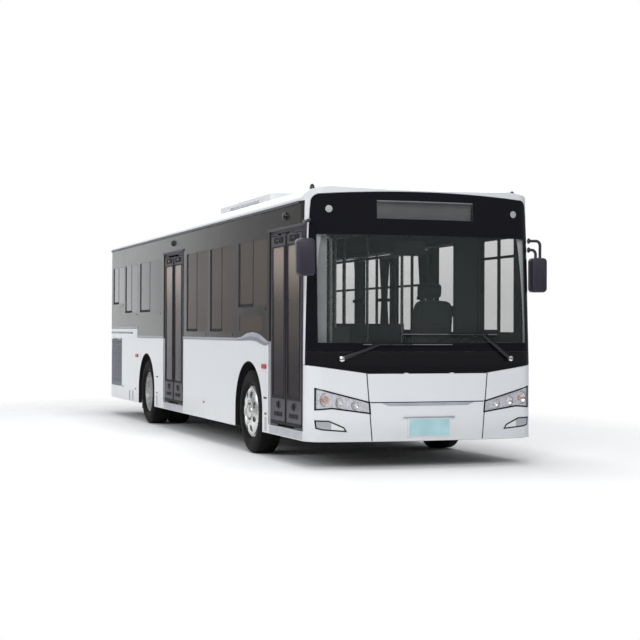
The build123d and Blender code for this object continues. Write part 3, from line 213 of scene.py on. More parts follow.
def white_paint():
    """Body white outside, with road dust low down, and dark grey painted shade of the saloon on the faces that look
    inwards.
    """
    white = (0.78, 0.80, 0.825)
    paint = Paint("body_white", white, coat_weight=0.3, coat_roughness=0.08, specular_ior_level=0.4)
    x, y, z = paint.axes()
    dust = z.rise(0.58, 0.27) * 0.34 * (paint.noise(7, 4) * 0.8 + 0.5)
    # Faces that look inwards: painted shade of the dim saloon, in dark grey instead of white
    inside = (z + x * x * 0.0626).rise(2.868, 2.864) * abs(x).rise(1.2058, 1.2052)
    inside = inside * y.within(at(0.304), at(10.44), 0.001)
    colour = paint.blend(inside, paint.blend(dust, white, (0.46, 0.46, 0.47)), (0.105, 0.110, 0.112))
    return paint.finish(colour, paint.noise(3, 3) * 0.10 + 0.26, paint.noise(420, 1), 0.05, 0.0004)


def band_paint():
    """Gloss black, lightened towards the tail by a painted reflection and rougher there, and bluer on the nose."""
    paint = Paint("band_black", (0.014, 0.014, 0.016), specular_ior_level=0.40, specular_tint=(1.0, 0.97, 0.90, 1))
    x, y, z = paint.axes()
    # Painted reflection: the sides turn a lighter olive towards the tail; the same mask roughens them there
    painted_tail_reflection = y.rise(at(1.2), at(9.5)) * abs(x).rise(1.19, 1.24)
    olive = paint.blend(painted_tail_reflection, (0.022, 0.021, 0.018), (0.062, 0.065, 0.060))
    return paint.finish(paint.blend(y.rise(at(0.310), at(0.300)), olive, (0.006, 0.006, 0.009)),
                        paint.noise(4, 3) * 0.08 + painted_tail_reflection * 0.08 + 0.10, paint.noise(380, 1), 0.03, 0.0004)


def plain(name, colour, rough, grain, depth, metallic=0.0, **settings):
    """Painted, moulded or cast surface with a fine grain and uneven gloss."""
    paint = Paint(name, colour, metallic=metallic, **settings)
    patch = paint.noise(6, 3)
    return paint.finish(paint.blend(patch.rise(0.3, 0.7), darker(colour, 0.86), colour),
                        patch * 0.14 + (rough - 0.07), paint.noise(grain, 2), depth, 0.0006)


def tinted_glass():
    """Side windows: brown ahead, lighter upwards and greyer towards the tail as painted reflection, and clearer on
    the road side.
    """
    paint = Paint("glass_tinted", (0.07, 0.058, 0.050), specular_ior_level=0.26,
                  specular_tint=(1.0, 0.95, 0.90, 1))
    x, y, z = paint.axes()
    kerb = x.rise(0.1, -0.1)
    # Painted reflection: the kerb-side panes lighten upwards and turn greyer towards the tail
    brown = paint.blend(z.rise(1.4, 2.3), (0.098, 0.080, 0.072), (0.118, 0.102, 0.092))
    outer = paint.blend(y.rise(at(4.8), at(8.6)), brown, (0.170, 0.182, 0.180))
    return paint.finish(paint.blend(kerb, (0.20, 0.20, 0.20), outer), paint.noise(2, 2) * 0.03 + 0.03,
                        alpha=kerb * 0.74 + z.rise(2.5, 1.6) * 0.08 + 0.12)


def screen_glass():
    """Windscreen: clear inside a black printed border, darker above the display."""
    paint = Paint("glass_clear", (0.02, 0.022, 0.023), specular_ior_level=0.22, specular_tint=(0.92, 0.94, 1.0, 1))
    x, y, z = paint.axes()
    view = abs(x).rise(1.150, 1.140) * z.within(1.262, 2.345, 0.004)
    clear = view.over(abs(x).rise(0.534, 0.528) * z.within(2.512, 2.698, 0.004))
    return paint.finish(paint.blend(clear, (0.006, 0.006, 0.009), (0.085, 0.100, 0.098)),
                        paint.noise(2, 2) * 0.03 + 0.04, alpha=1 - clear * 0.84)


def door_glass():
    """Door panes with painted light: beige under the header, fading to dark brown-grey below."""
    paint = Paint("glass_door", (0.03, 0.028, 0.027), specular_ior_level=0.26)
    x, y, z = paint.axes()
    # Painted light: the panes lighten from dark below to beige under the header
    middle = paint.blend(z.rise(0.9, 1.65), (0.042, 0.036, 0.040), (0.105, 0.088, 0.078))
    return paint.finish(paint.blend(z.rise(1.6, 2.25), middle, (0.40, 0.34, 0.29)),
                        paint.noise(3, 2) * 0.05 + 0.08, alpha=z.rise(1.0, 2.25) * 0.06 + 0.86)


def tyre_rubber(groove=0.042):
    """Rubber with ribs on the tread and a dusty grey bloom."""
    paint = Paint("tyre", (0.01, 0.01, 0.01), specular_ior_level=0.16)
    x, y, z = paint.axes()
    rib = (abs(x) * (2 * pi / groove)).wave()
    spread = paint.noise(30, 3)
    return paint.finish(paint.blend(spread.rise(0.35, 0.75), (0.003, 0.003, 0.0035), (0.010, 0.0095, 0.0095)),
                        spread * 0.2 + 0.62, rib.rise(-0.6, -0.2) + spread * 0.3, 0.6, 0.006)


def rim_paint():
    paint = Paint("rim_steel", (0.62, 0.62, 0.61), metallic=0.85)
    spots = paint.noise(14, 5)
    return paint.finish(paint.blend(spots.rise(0.5, 0.9), (0.70, 0.70, 0.70), (0.42, 0.40, 0.38)),
                        spots * 0.25 + 0.16, paint.noise(160, 2), 0.15, 0.0006)


def lens(name, colour, alpha, pitch, rough):
    """Moulded lamp lens with upright ribs."""
    paint = Paint(name, colour, specular_ior_level=0.5, coat_weight=0.3)
    x, y, z = paint.axes()
    ribs = ((x + y) * (2 * pi / pitch)).wave()
    return paint.finish(paint.blend(ribs.rise(-1, 1), darker(colour, 0.8), colour),
                        paint.noise(9, 2) * 0.05 + rough, ribs, 0.25, 0.001, ribs * 0.02 + alpha)


def faceted(name, colour, pitch, metallic):
    """Bright lamp reflector broken up into small facets."""
    paint = Paint(name, colour, metallic=metallic)
    x, y, z = paint.axes()
    facets = ((x - y) * (2 * pi / pitch)).wave() * (z * (2 * pi / pitch)).wave()
    patch = paint.noise(60, 3)
    return paint.finish(paint.blend(patch.rise(0.35, 0.65), darker(colour, 0.75), colour),
                        patch * 0.2 + 0.22, facets + patch * 0.4, 0.35, 0.002)


def weave(name, colour, second, thread=900):
    """Woven cloth with a small check."""
    paint = Paint(name, colour, sheen_weight=0.3)
    x, y, z = paint.axes()
    knots = (x * thread).wave() * ((y + z) * thread).wave()
    return paint.finish(paint.blend(knots.rise(-0.4, 0.4) * 0.5 + paint.noise(4, 2) * 0.4, colour, second),
                        paint.noise(30, 2) * 0.1 + 0.8, knots, 0.3, 0.0008)


def floor_vinyl():
    """Speckled vinyl in the saloon and black underseal inside the wheel housings."""
    paint = Paint("floor_grey", (0.13, 0.135, 0.14))
    x, y, z = paint.axes()
    fleck = paint.noise(260, 2)
    vinyl = paint.blend(fleck.rise(0.4, 0.6), (0.10, 0.105, 0.11), (0.17, 0.175, 0.18))
    sealed = z.rise(0.322, 0.318)
    for station in wheel_stations.values():
        along = y - at(station)
        up = (z - arch_z).over(0)
        reach = (along * along + up * up).root()
        sealed = sealed.over(reach.rise(0.561, 0.559) * abs(x).rise(0.529, 0.531) * z.rise(1.062, 1.058))
    return paint.finish(paint.blend(sealed, vinyl, (0.012, 0.012, 0.013)), fleck * 0.2 + 0.6, fleck, 0.3, 0.0008)


# Finishes: those that serve a slot of the CAD have its name
finishes = {"body_white": white_paint(), "band_black": band_paint(), "glass_tinted": tinted_glass(),
            "glass_clear": screen_glass(), "glass_door": door_glass(), "floor_grey": floor_vinyl(),
            "tyre": tyre_rubber(), "rim_steel": rim_paint(),
            "lamp_housing": faceted("lamp_housing", (0.86, 0.85, 0.92), 0.018, 0.6),
            "seat_cloth": weave("seat_cloth", (0.030, 0.036, 0.038), (0.062, 0.070, 0.072)),
            "curtain_cloth": weave("curtain_cloth", (0.010, 0.010, 0.012), (0.026, 0.026, 0.030)),
            "rubber_black": plain("rubber_black", (0.005, 0.005, 0.0055), 0.65, 180, 0.2, specular_ior_level=0.3)}
# Columns: name, colour, alpha, pitch of the ribs, roughness
for row in (("lamp_clear", (0.86, 0.88, 0.90), 0.10, 0.030, 0.03),
            ("white_lens", (0.90, 0.91, 0.92), 0.96, 0.008, 0.10),
            ("lamp_red", (0.30, 0.010, 0.012), 0.96, 0.012, 0.06),
            ("amber_lens", (0.78, 0.30, 0.16), 0.90, 0.008, 0.06)):
    finishes[row[0]] = lens(*row)
# Columns: name, colour, roughness, grain, depth of the grain, metallic
for row in (("door_frame", (0.034, 0.028, 0.042), 0.42, 120, 0.1),
            ("chassis_black", (0.022, 0.022, 0.023), 0.6, 60, 0.3),
            ("engine_iron", (0.12, 0.12, 0.125), 0.6, 50, 0.4, 0.5),
            ("flap_grey", (0.20, 0.225, 0.265), 0.45, 200, 0.1, 0.2),
            ("chrome", (0.80, 0.80, 0.80), 0.13, 60, 0.02, 1.0),
            ("trim_silver", (0.50, 0.51, 0.56), 0.34, 200, 0.05, 0.5),
            ("trim_lilac", (0.27, 0.27, 0.35), 0.40, 200, 0.05, 0.3),
            ("gutter_paint", (0.020, 0.019, 0.030), 0.35, 200, 0.05),
            ("mirror_housing", (0.036, 0.031, 0.050), 0.42, 300, 0.15),
            ("camera_black", (0.010, 0.010, 0.011), 0.18, 90, 0.03),
            ("dashboard", (0.022, 0.024, 0.025), 0.65, 320, 0.35),
            ("rail_steel", (0.56, 0.56, 0.55), 0.28, 400, 0.08, 1.0),
            ("wiper_metal", (0.36, 0.36, 0.37), 0.3, 300, 0.1, 0.8),
            ("seat_shell", (0.035, 0.050, 0.085), 0.45, 260, 0.15),
            ("sign_grey", (0.21, 0.205, 0.21), 0.4, 200, 0.05),
            ("light_plastic", (0.46, 0.47, 0.48), 0.45, 120, 0.06),
            ("plate_blue", (0.45, 0.70, 0.74), 0.35, 300, 0.03),
            ("groove_grey", (0.42, 0.44, 0.48), 0.5, 120, 0.05),
            ("cooler_grey", (0.50, 0.51, 0.53), 0.4, 200, 0.1),
            ("arm_black", (0.026, 0.026, 0.029), 0.35, 200, 0.05),
            ("red_marker", (0.42, 0.012, 0.020), 0.3, 200, 0.05)):
    finishes[row[0]] = plain(*row)
finishes["wiper_black"] = finishes["camera_black"]

for part in frame["record"]["subparts"]:
    mesh = nodes[part["node"]].data
    mesh.materials.clear()
    mesh.materials.append(finishes[part["material_slot"]])
nodes["drip_rails"].data.materials[0] = finishes["gutter_paint"]


# Making pieces

def mesh_of(bm, name):
    mesh = bpy.data.meshes.new(name)
    bm.to_mesh(mesh)
    bm.free()
    return mesh


def placed(name, data):
    """Object of a mesh, camera or lamp, linked into the scene."""
    obj = bpy.data.objects.new(name, data)
    bpy.context.scene.collection.objects.link(obj)
    return obj


def evaluated_mesh(obj):
    bpy.context.view_layer.update()
    return bpy.data.meshes.new_from_object(obj.evaluated_get(bpy.context.evaluated_depsgraph_get()))


def piece(name, mesh, finish, body="root", sharp=40):
    """Puts a mesh into the scene on a body; its slot has the finish's name."""
    mesh.polygons.foreach_set("use_smooth", [True] * len(mesh.polygons))
    if sharp:
        mesh.set_sharp_from_angle(angle=radians(sharp))
    mesh.materials.clear()
    mesh.materials.append(finishes[finish])
    obj = placed(name, mesh)
    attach(obj, body)
    return obj


def show(name, bm, finish, body="root", bevel=0.0, segments=2):
    bmesh.ops.remove_doubles(bm, verts=bm.verts, dist=1e-6)
    bmesh.ops.recalc_face_normals(bm, faces=bm.faces)
    if bevel:
        bmesh.ops.bevel(bm, geom=bm.edges[:], offset=bevel, segments=segments, affect="EDGES", profile=0.6)
    return piece(name, mesh_of(bm, name), finish, body)


def slab(bm, low, high):
    """Closed block between two corners."""
    for vert in bmesh.ops.create_cube(bm, size=1)["verts"]:
        for i in range(3):
            first, last = sorted((low[i], high[i]))
            vert.co[i] = first if vert.co[i] < 0 else last


def blocks(corners, bevel=0.0, segments=1):
    """Closed blocks between pairs of corners, their edges broken."""
    bm = bmesh.new()
    for low, high in corners:
        slab(bm, low, high)
    if bevel:
        bmesh.ops.bevel(bm, geom=bm.edges[:], offset=bevel, segments=segments, affect="EDGES")
    return bm


def block(size):
    return blocks([([-s / 2 for s in size], [s / 2 for s in size])], min(size) * 0.22)


def rounded(width, height, radius, middle=(0, 0), steps=5):
    """Outline of a rounded rectangle."""
    points = []
    for cx, cy, start in ((1, 1, 0), (-1, 1, 90), (-1, -1, 180), (1, -1, 270)):
        for i in range(steps + 1):
            a = radians(start + 90 * i / steps)
            points.append((middle[0] + cx * (width / 2 - radius) + radius * cos(a),
                           middle[1] + cy * (height / 2 - radius) + radius * sin(a)))
    return points


def panel(first, last, low, high):
    """Outline of a plain rectangle."""
    return [(first, low), (last, low), (last, high), (first, high)]


def joined(bm, rows, wrap=True, caps=False):
    """Faces between neighbouring rows of vertices, of which some may be single points."""
    for first, second in zip(rows, rows[1:]):
        count = max(len(first), len(second))
        for i in range(count if wrap else count - 1):
            j = (i + 1) % count
            corners = [row[k % len(row)] for row, k in ((first, i), (first, j), (second, j), (second, i))]
            bm.faces.new(list(dict.fromkeys(corners)))
    if caps:
        bm.faces.new(rows[0])
        bm.faces.new(rows[-1])


def rows_of(bm, layers, place):
    """Vertices of outlines at depths; place turns (u, v, w) into a point, w runs along the depth."""
    return [[bm.verts.new(place(u, v, w)) for u, v in line] for line, w in layers]


def band_ring(bm, outer, inner, place, depth):
    """Closed frame between two outlines."""
    rows = rows_of(bm, ((outer, 0), (outer, depth), (inner, depth), (inner, 0)), place)
    joined(bm, rows + rows[:1])


def plate(bm, outline, place, depth):
    """Closed plate of an outline."""
    joined(bm, rows_of(bm, ((outline, 0), (outline, depth)), place), caps=True)


def strip(bm, first_line, second_line, place, depth):
    """Closed ribbon between two open lines of as many points."""
    rows = rows_of(bm, ((first_line, 0), (first_line, depth), (second_line, depth), (second_line, 0)), place)
    joined(bm, rows + rows[:1], wrap=False)
    for end in (0, -1):
        bm.faces.new([row[end] for row in rows])


def ribbon(bm, line, high, low, place, depth):
    """Closed ribbon between two heights."""
    strip(bm, [(u, high) for u in line], [(u, low) for u in line], place, depth)


def ring(bm, middle, side, up, radius, steps):
    angles = [2 * pi * i / steps for i in range(steps)]
    return [bm.verts.new(middle + (side * cos(a) + up * sin(a)) * radius) for a in angles]


def turned(bm, profile, centre, direction, steps=28):
    """Ring turned about an axis through a point, from (along, radius) pairs; radius 0 closes an end."""
    axis = Vector(direction).normalized()
    side = axis.orthogonal().normalized()
    up = axis.cross(side)
    joined(bm, [ring(bm, Vector(centre) + axis * along, side, up, radius, steps if radius > 1e-6 else 1)
                for along, radius in profile])


def tube(bm, points, radius, steps=10):
    """Closed round bar through points, mitred at its corners."""
    points = [Vector(p) for p in points]
    rings = []
    for i, here in enumerate(points):
        into = (here - points[i - 1]).normalized() if i else (points[1] - here).normalized()
        away = (points[i + 1] - here).normalized() if i + 1 < len(points) else into
        along = (into + away).normalized()
        if i == 0:
            side = along.orthogonal().normalized()
        side = (side - along * side.dot(along)).normalized()
        rings.append(ring(bm, here, side, along.cross(side), radius, steps))
    joined(bm, rings, caps=True)


def repeats(template, start, step, count, finish):
    """Mesh of a shape repeated along a line by Geometry Nodes; the shape is a bmesh about the origin."""
    bmesh.ops.recalc_face_normals(template, faces=template.faces)
    shape = placed("repeat_shape", mesh_of(template, "repeat_shape"))
    holder = placed("repeat_holder", bpy.data.meshes.new("repeat_holder"))
    group = bpy.data.node_groups.new("repeats", "GeometryNodeTree")
    values = {"Shape": ("Object", shape), "Start": ("Vector", start), "Step": ("Vector", step),
              "Count": ("Int", count), "Finish": ("Material", finishes[finish])}
    keys = [group.interface.new_socket(name, in_out="INPUT", socket_type="NodeSocket" + kind).identifier
            for name, (kind, _) in values.items()]
    group.interface.new_socket("Mesh", in_out="OUTPUT", socket_type="NodeSocketGeometry")
    graph = Graph(group)
    given = dict(zip(values, graph.outputs("NodeGroupInput")))
    source = graph.node("GeometryNodeObjectInfo", {}, {"Object": given["Shape"]}, "Geometry")
    line = graph.node("GeometryNodeMeshLine", {}, {"Count": given["Count"], "Start Location": given["Start"],
                                                   "Offset": given["Step"]})
    copies = graph.node("GeometryNodeInstanceOnPoints", {}, {"Points": line, "Instance": source})
    real = graph.node("GeometryNodeRealizeInstances", {}, {"Geometry": copies})
    graph.end("NodeGroupOutput", graph.node("GeometryNodeSetMaterial", {},
                                            {"Geometry": real, "Material": given["Finish"]}))
    modifier = holder.modifiers.new("repeats", "NODES")
    modifier.node_group = group
    for key, (_, value) in zip(keys, values.values()):
        modifier[key] = value
    mesh = evaluated_mesh(holder)
    for obj in (holder, shape):
        bpy.data.objects.remove(obj)
    return mesh


def repeated(name, lines, finish, body="root"):
    """One piece of several lines of repeats, each as the arguments of repeats()."""
    bm = bmesh.new()
    for line in lines:
        bm.from_mesh(repeats(*line, finish))
    return show(name, bm, finish, body)


def side_place(side, lift=skin_lift):
    """Points on a side wall: u is the station, v the height, w goes out from the skin."""
    return lambda u, v, w: Vector((side * (half_width + lift + w), at(u), v))


# Nose skin: a wide arc with a tighter arc at each corner, raked above rake_z; the tail is raked less
crown_radius = 6.0
corner_radius = 0.2
corner_centre = (1.05, 0.29578)
corner_arc_start = 1.0862
rake_z = 1.035
rake_height = 1.755
nose_rake = 0.095
tail_rake = 0.035
tail_crown = 40


def nose_point(x, z, lift=0.0):
    """Point at a height over the front skin."""
    side = 1 if x >= 0 else -1
    if abs(x) <= corner_arc_start:
        normal = Vector((x / crown_radius, -sqrt(1 - (x / crown_radius) ** 2)))
        base = Vector((0, crown_radius)) + normal * crown_radius
    else:
        share = (abs(x) - corner_centre[0]) / corner_radius
        normal = Vector((side * share, -sqrt(1 - share * share)))
        base = Vector((side * corner_centre[0], corner_centre[1])) + normal * corner_radius
    back = nose_rake * max(z - rake_z, 0) / rake_height
    return Vector((base.x + normal.x * lift, front_y + base.y + back + normal.y * lift, z))


def nose_place(lift=skin_lift):
    return lambda u, v, w: nose_point(u, v, lift + w)


def tail_face(x, z):
    return cad_high[1] - x * x / tail_crown - tail_rake * max(z - rake_z, 0) / rake_height


def tail_place(u, v, w):
    return Vector((u, tail_face(u, v) + 0.0006 + w, v))


def span(first, last, parts):
    """Evenly spaced values from first to last."""
    return [first + (last - first) * i / parts for i in range(parts + 1)]


def divided(points, parts=6):
    """Outline with each edge cut into parts, so that it can follow a curved skin."""
    out = []
    for (u0, v0), (u1, v1) in zip(points, points[1:] + points[:1]):
        out += list(zip(span(u0, u1, parts), span(v0, v1, parts)))[:parts]
    return out


def inset(points, depth):
    """Outline moved inwards by a depth, corner by corner."""
    area = sum(a[0] * b[1] - b[0] * a[1] for a, b in zip(points, points[1:] + points[:1]))
    turn = 1 if area > 0 else -1
    out = []
    for i, here in enumerate(points):
        before, after = points[i - 1], points[(i + 1) % len(points)]
        normals = []
        for a, b in ((before, here), (here, after)):
            edge = (Vector(b) - Vector(a)).normalized()
            normals.append(Vector((-edge.y, edge.x)) * turn)
        middle = (normals[0] + normals[1]).normalized()
        out.append(tuple(Vector(here) + middle * (depth / max(middle.dot(normals[0]), 0.4))))
    return out


# Windows: corners rounded off in the band's black, sliders' rails in rubber, and black strips as painted shade in
# the rear panes' recesses
def window_trim(side, windows, name):
    corners, rails = bmesh.new(), bmesh.new()
    rows = [(start, end, sill, window_head_z, divider) for start, end, sill, divider in windows]
    for start, end, sill, head, divider in rows + [(*small_window, None)]:
        middle = ((start + end) / 2, (sill + head) / 2)
        width, height = end - start, head - sill
        place = side_place(side, -0.0040)
        sharp = rounded(width - 0.0006, height - 0.0006, 0.0005, middle)
        band_ring(corners, sharp, rounded(width - 0.020, height - 0.020, 0.045, middle), place, 0.0042)
        if divider is None:
            continue
        slab(rails, place(divider - 0.006, sill + 0.010, 0), place(divider + 0.006, head - 0.010, 0.0030))
        # Black strips along the rear edge and the foot of the rear pane: painted shade of the pane's recess
        slab(rails, place(end - 0.060, sill + 0.010, 0.0002), place(end - 0.002, head - 0.010, 0.0052))
        slab(rails, place(divider, sill + 0.004, 0.0002), place(end - 0.004, sill + 0.038, 0.0052))
        slab(rails, place(start + 0.06, sill - 0.035, 0.0045), place(start + 0.085, sill - 0.015, 0.0075))
        if side > 0:
            bar_z = head - 0.20 if start < 1 else head - 0.44
            if head - sill > 0.8:
                slab(rails, place(start + 0.010, bar_z - 0.014, -0.03), place(end - 0.010, bar_z + 0.014, -0.0062))
            slab(rails, place(divider - 0.014, sill + 0.010, -0.03), place(divider + 0.014, head - 0.010, -0.0062))
    show(f"{name}_window_corners", corners, "band_black")
    show(f"{name}_window_rails", rails, "rubber_black", bevel=0.0008, segments=1)


window_trim(-1, kerb_windows, "kerb")
window_trim(1, road_windows, "road")

# Rear window seal
bm = bmesh.new()
band_ring(bm, rounded(1.556, 0.596, 0.06, (0, 2.14)), rounded(1.50, 0.54, 0.05, (0, 2.14)),
          lambda u, v, w: Vector((u, tail_face(u, v) - 0.004 + w, v)), 0.008)
show("rear_window_seal", bm, "rubber_black")

# Belt: a silver strip with a lilac foot, a crest over the front wheel and a step near the tail
# Columns: station, lower edge, upper edge
crest = [(2.75, 1.262, 1.292), (2.52, 1.262, 1.306), (2.28, 1.268, 1.350), (2.07, 1.268, 1.362),
         (1.90, 1.258, 1.352), (1.76, 1.236, 1.330), (1.60, 1.215, 1.292), (1.44, 1.235, 1.250)]
lower_crest = [(s, low) for s, low, _ in crest]
middle_crest = [(s, (low + high) / 2) for s, low, high in crest]
upper_crest = [(s, high) for s, _, high in crest]
fill_top = 1.2585
for side, name in ((-1, "kerb"), (1, "road")):
    silver, lilac, fill = bmesh.new(), bmesh.new(), bmesh.new()
    skin = side_place(side)
    # Columns: first station, last station, height
    runs = [(2.75, 5.352, 1.262), (6.498, 8.29, 1.262)] if side < 0 else [(2.75, 8.29, 1.262), (0.31, 1.44, 1.235)]
    for first, last, z in runs + [(8.30, 10.342, 1.398)]:
        ribbon(silver, (first, last), z + 0.032, z + 0.012, skin, 0.004)
        ribbon(lilac, (first, last), z + 0.012, z, skin, 0.003)
    strip(silver, upper_crest, middle_crest, skin, 0.004)
    strip(lilac, middle_crest, lower_crest, skin, 0.003)
    strip(fill, [(s, z - 0.0005) for s, z in lower_crest], [(s, min(fill_top, z - 0.001)) for s, z in lower_crest],
          skin, 0.0015)
    plate(fill, panel(8.292, 10.342, fill_top, 1.396), skin, 0.0015)
    show(f"{name}_belt_strip", silver, "trim_silver")
    show(f"{name}_belt_foot", lilac, "trim_lilac")
    show(f"{name}_belt_fill", fill, "body_white")

# Small things on the skirts: slots over the radiator, dashes and ribbed vents beside the arches
dark, ribs = bmesh.new(), bmesh.new()
for side in (-1, 1):
    skin = side_place(side)
    plate(dark, rounded(1.73, 0.030, 0.014, (9.475, 1.335)), side_place(side, 0.0019), 0.002)
    for station, z in ((1.58, 0.65), (6.91, 0.71)):
        plate(dark, rounded(0.11, 0.020, 0.009, (station, z)), skin, 0.003)
    for station in (1.56, 6.92, 8.62, 8.86):
        middle = (station, 0.368)
        band_ring(ribs, rounded(0.062, 0.15, 0.008, middle), rounded(0.050, 0.138, 0.006, middle), skin, 0.003)
        for row in range(7):
            z = 0.312 + row * 0.0187
            ribbon(ribs, (station - 0.025, station + 0.025), z + 0.010, z, skin, 0.0025)
show("skirt_slots", dark, "camera_black")
show("skirt_vents", ribs, "groove_grey")

# Wheel arch liners: black over the cut edge of the side wall
bm = bmesh.new()
for station in wheel_stations.values():
    lines = []
    for radius in (0.5447, 0.536):
        arc = [(station - radius * cos(a), arch_z + radius * sin(a)) for a in span(0, pi, 32)]
        lines.append([(station - radius, 0.278)] + arc + [(station + radius, 0.278)])
    for side in (-1, 1):
        strip(bm, lines[0], lines[1], side_place(side, -0.0497), 0.0490)
show("arch_liners", bm, "rubber_black")

# Door surrounds, sills and the header's canopy
frames, sills = bmesh.new(), bmesh.new()
skin = side_place(-1)
for start in door_starts.values():
    end = start + door_width
    plate(frames, [(start - 0.035, 2.432), (end + 0.035, 2.432), (end + 0.050, 2.462), (start - 0.050, 2.462)],
          skin, 0.010)
    for edge, way in ((start, -1), (end, 1)):
        plate(frames, panel(edge + way * 0.001, edge + way * 0.014, 0.372, 2.432), skin, 0.004)
    for low, high, depth in ((0.345, 0.366, 0.004), (0.283, 0.345, 0.0015)):
        plate(sills, panel(start + 0.006, end - 0.006, low, high), skin, depth)
show("door_surrounds", frames, "door_frame", bevel=0.0012, segments=1)
show("door_sills", sills, "trim_silver", bevel=0.0006, segments=1)

# Door leaves: gaskets round the glass, rubber edges, round vents, slots and header brackets
leaf_gap = 0.047
leaf_width = (door_width - 2 * leaf_gap - 0.006) / 2
leaf_outer = side_place(-1, -0.0037)
vent_z = 0.600
for door, start in door_starts.items():
    for end, way in (("fore", 1), ("aft", -1)):
        jamb = start if way > 0 else start + door_width
        lead = jamb + way * (leaf_gap + leaf_width)
        first, last = sorted((jamb + way * leaf_gap, lead))
        middle = (first + last) / 2
        body = f"{door}_door_{end}_leaf"
        black, vents = bmesh.new(), bmesh.new()
        band_ring(black, rounded(leaf_width - 0.108, 1.588, 0.012, (middle, 1.476)),
                  rounded(leaf_width - 0.130, 1.566, 0.020, (middle, 1.476)), leaf_outer, 0.004)
        plate(black, rounded(leaf_width - 0.108, 0.022, 0.006, (middle, 0.676)), leaf_outer, 0.006)
        plate(black, panel(first + 0.004, last - 0.004, 0.405, 0.432), leaf_outer, 0.005)
        plate(black, panel(lead - way * 0.012, lead - way * 0.001, 0.41, 2.37), leaf_outer, 0.005)
        for shift in (-0.085, 0.085):
            plate(black, rounded(0.125, 0.066, 0.020, (middle + shift, 2.333)), leaf_outer, 0.0045)
            plate(black, rounded(0.130, 0.045, 0.006, (middle + shift * 0.86, 0.503)), leaf_outer, 0.004)
        plate(vents, rounded(0.10, 0.022, 0.008, (middle, 2.333)), leaf_outer, 0.008)
        show(f"{body}_rubber", black, "rubber_black", body=body)
        turned(vents, [(0, 0.040), (0.010, 0.040), (0.013, 0.034), (0.009, 0.030), (0.007, 0)],
               leaf_outer(middle, vent_z, 0), (-1, 0, 0))
        for a in (0, pi / 4, pi / 2, 3 * pi / 4):
            along, wide = Vector((cos(a), sin(a))) * 0.030, Vector((-sin(a), cos(a))) * 0.003
            bar = [Vector((middle, vent_z)) + p for p in (-along - wide, along - wide, along + wide, wide - along)]
            plate(vents, bar, leaf_outer, 0.0115)
        show(f"{body}_vents", vents, "camera_black", body=body)

# Radiator flap: fine grey louvres in front of the wide slats
repeated("radiator_louvres", [(block((0.0035, 0.755, 0.0075)), (-1.2434, at(9.905), 0.532), (0, 0, 0.0105), 63)],
         "flap_grey", body="radiator_flap")

# Headlamps and fog lamps: black outlines, bright bowls and bulbs behind the clear covers
head_box = (0.616, 1.178, 0.548, 0.816)
fog_box = (0.858, 1.178, 0.372, 0.492)
head_outline = [(1, 1), (0.02, 0.46), (0, 0), (0.70, 0.20), (1, 0.15)]
fog_outline = [(1, 1), (0.57, 0.97), (0.10, 0.42), (0, 0), (0.76, 0.16), (0.97, 0.30)]
# Columns: share across, share up, radius
head_bowls = [(0.81, 0.54, 0.066), (0.54, 0.42, 0.057), (0.27, 0.33, 0.048)]
outlines, bowls, ambers, bulbs = (bmesh.new() for _ in range(4))
inserts, mesh_panels, rims = bmesh.new(), bmesh.new(), bmesh.new()


def lamp_line(shape, place, side):
    x0, x1, z0, z1 = place
    return [(side * (x0 + u * (x1 - x0)), z0 + v * (z1 - z0)) for u, v in shape]


def fog_edge(u, corners):
    """Height at u of the line through corners."""
    for (u0, v0), (u1, v1) in zip(corners, corners[1:]):
        if u <= u1:
            return v0 + (v1 - v0) * (u - u0) / (u1 - u0)


for side in (-1, 1):
    for shape, place, width in ((head_outline, head_box, 0.014), (fog_outline, fog_box, 0.013)):
        line = lamp_line(shape, place, side)
        band_ring(outlines, divided(line), divided(inset(line, width)), nose_place(0.0004), 0.003)
    for rank, (u, v, radius) in enumerate(head_bowls):
        centre = nose_point(*lamp_line([(u, v)], head_box, side)[0], -0.012)
        turned(bowls, [(0.002, radius), (0.006, radius - 0.003), (-0.004, radius * 0.80), (-0.013, radius * 0.42),
                       (-0.016, radius * 0.30), (-0.018, radius * 0.42), (-0.008, radius * 0.86), (0.0, radius)],
               centre, (0, -1, 0), 10)
        turned(rims, [(0.0055, radius + 0.003), (0.0085, radius), (0.0075, radius - 0.006),
                      (0.0045, radius - 0.003), (0.0055, radius + 0.003)], centre, (0, -1, 0))
        turned(ambers if rank == 0 else bulbs, [(-0.016, 0), (-0.015, radius * 0.36), (-0.004, radius * 0.34),
                                                (0.002, radius * 0.18), (0.003, 0)], centre, (0, -1, 0), 16)
    for target, first, last in ((inserts, 0.07, 0.50), (mesh_panels, 0.52, 0.945)):
        line = span(first, last, 10)
        edges = [[(u, fog_edge(u, corners) + lift) for u in line] for corners, lift in (
            ([(0, 0), (0.10, 0.42), (0.57, 0.97), (1, 0.97)], -0.09), ([(0, 0), (0.76, 0.16), (1, 0.32)], 0.08))]
        strip(target, *[lamp_line(edge, fog_box, side) for edge in edges], nose_place(), 0.0022)
show("lamp_outlines", outlines, "rubber_black")
show("lamp_bowls", bowls, "chrome")
show("lamp_rims", rims, "wiper_metal")
show("turn_signals", ambers, "amber_lens")
show("lamp_bulbs", bulbs, "white_lens")
show("fog_reflectors", inserts, "white_lens")
show("fog_grilles", mesh_panels, "groove_grey")

# Dark seams of the nose panels: along the hatch's sides and under it
bm = bmesh.new()
for side in (-1, 1):
    line = [(side * x, z) for x, z in zip(span(*split_x, 10), span(*split_z, 10))]
    strip(bm, [(x - seam / 2, z) for x, z in line], [(x + seam / 2, z) for x, z in line], nose_place(), 0.0012)
seam_end = split_x[0] + 0.012
ribbon(bm, span(-seam_end, seam_end, 24), hatch_seam_z + seam / 2, hatch_seam_z - seam / 2, nose_place(), 0.0010)
show("nose_seams", bm, "rubber_black")
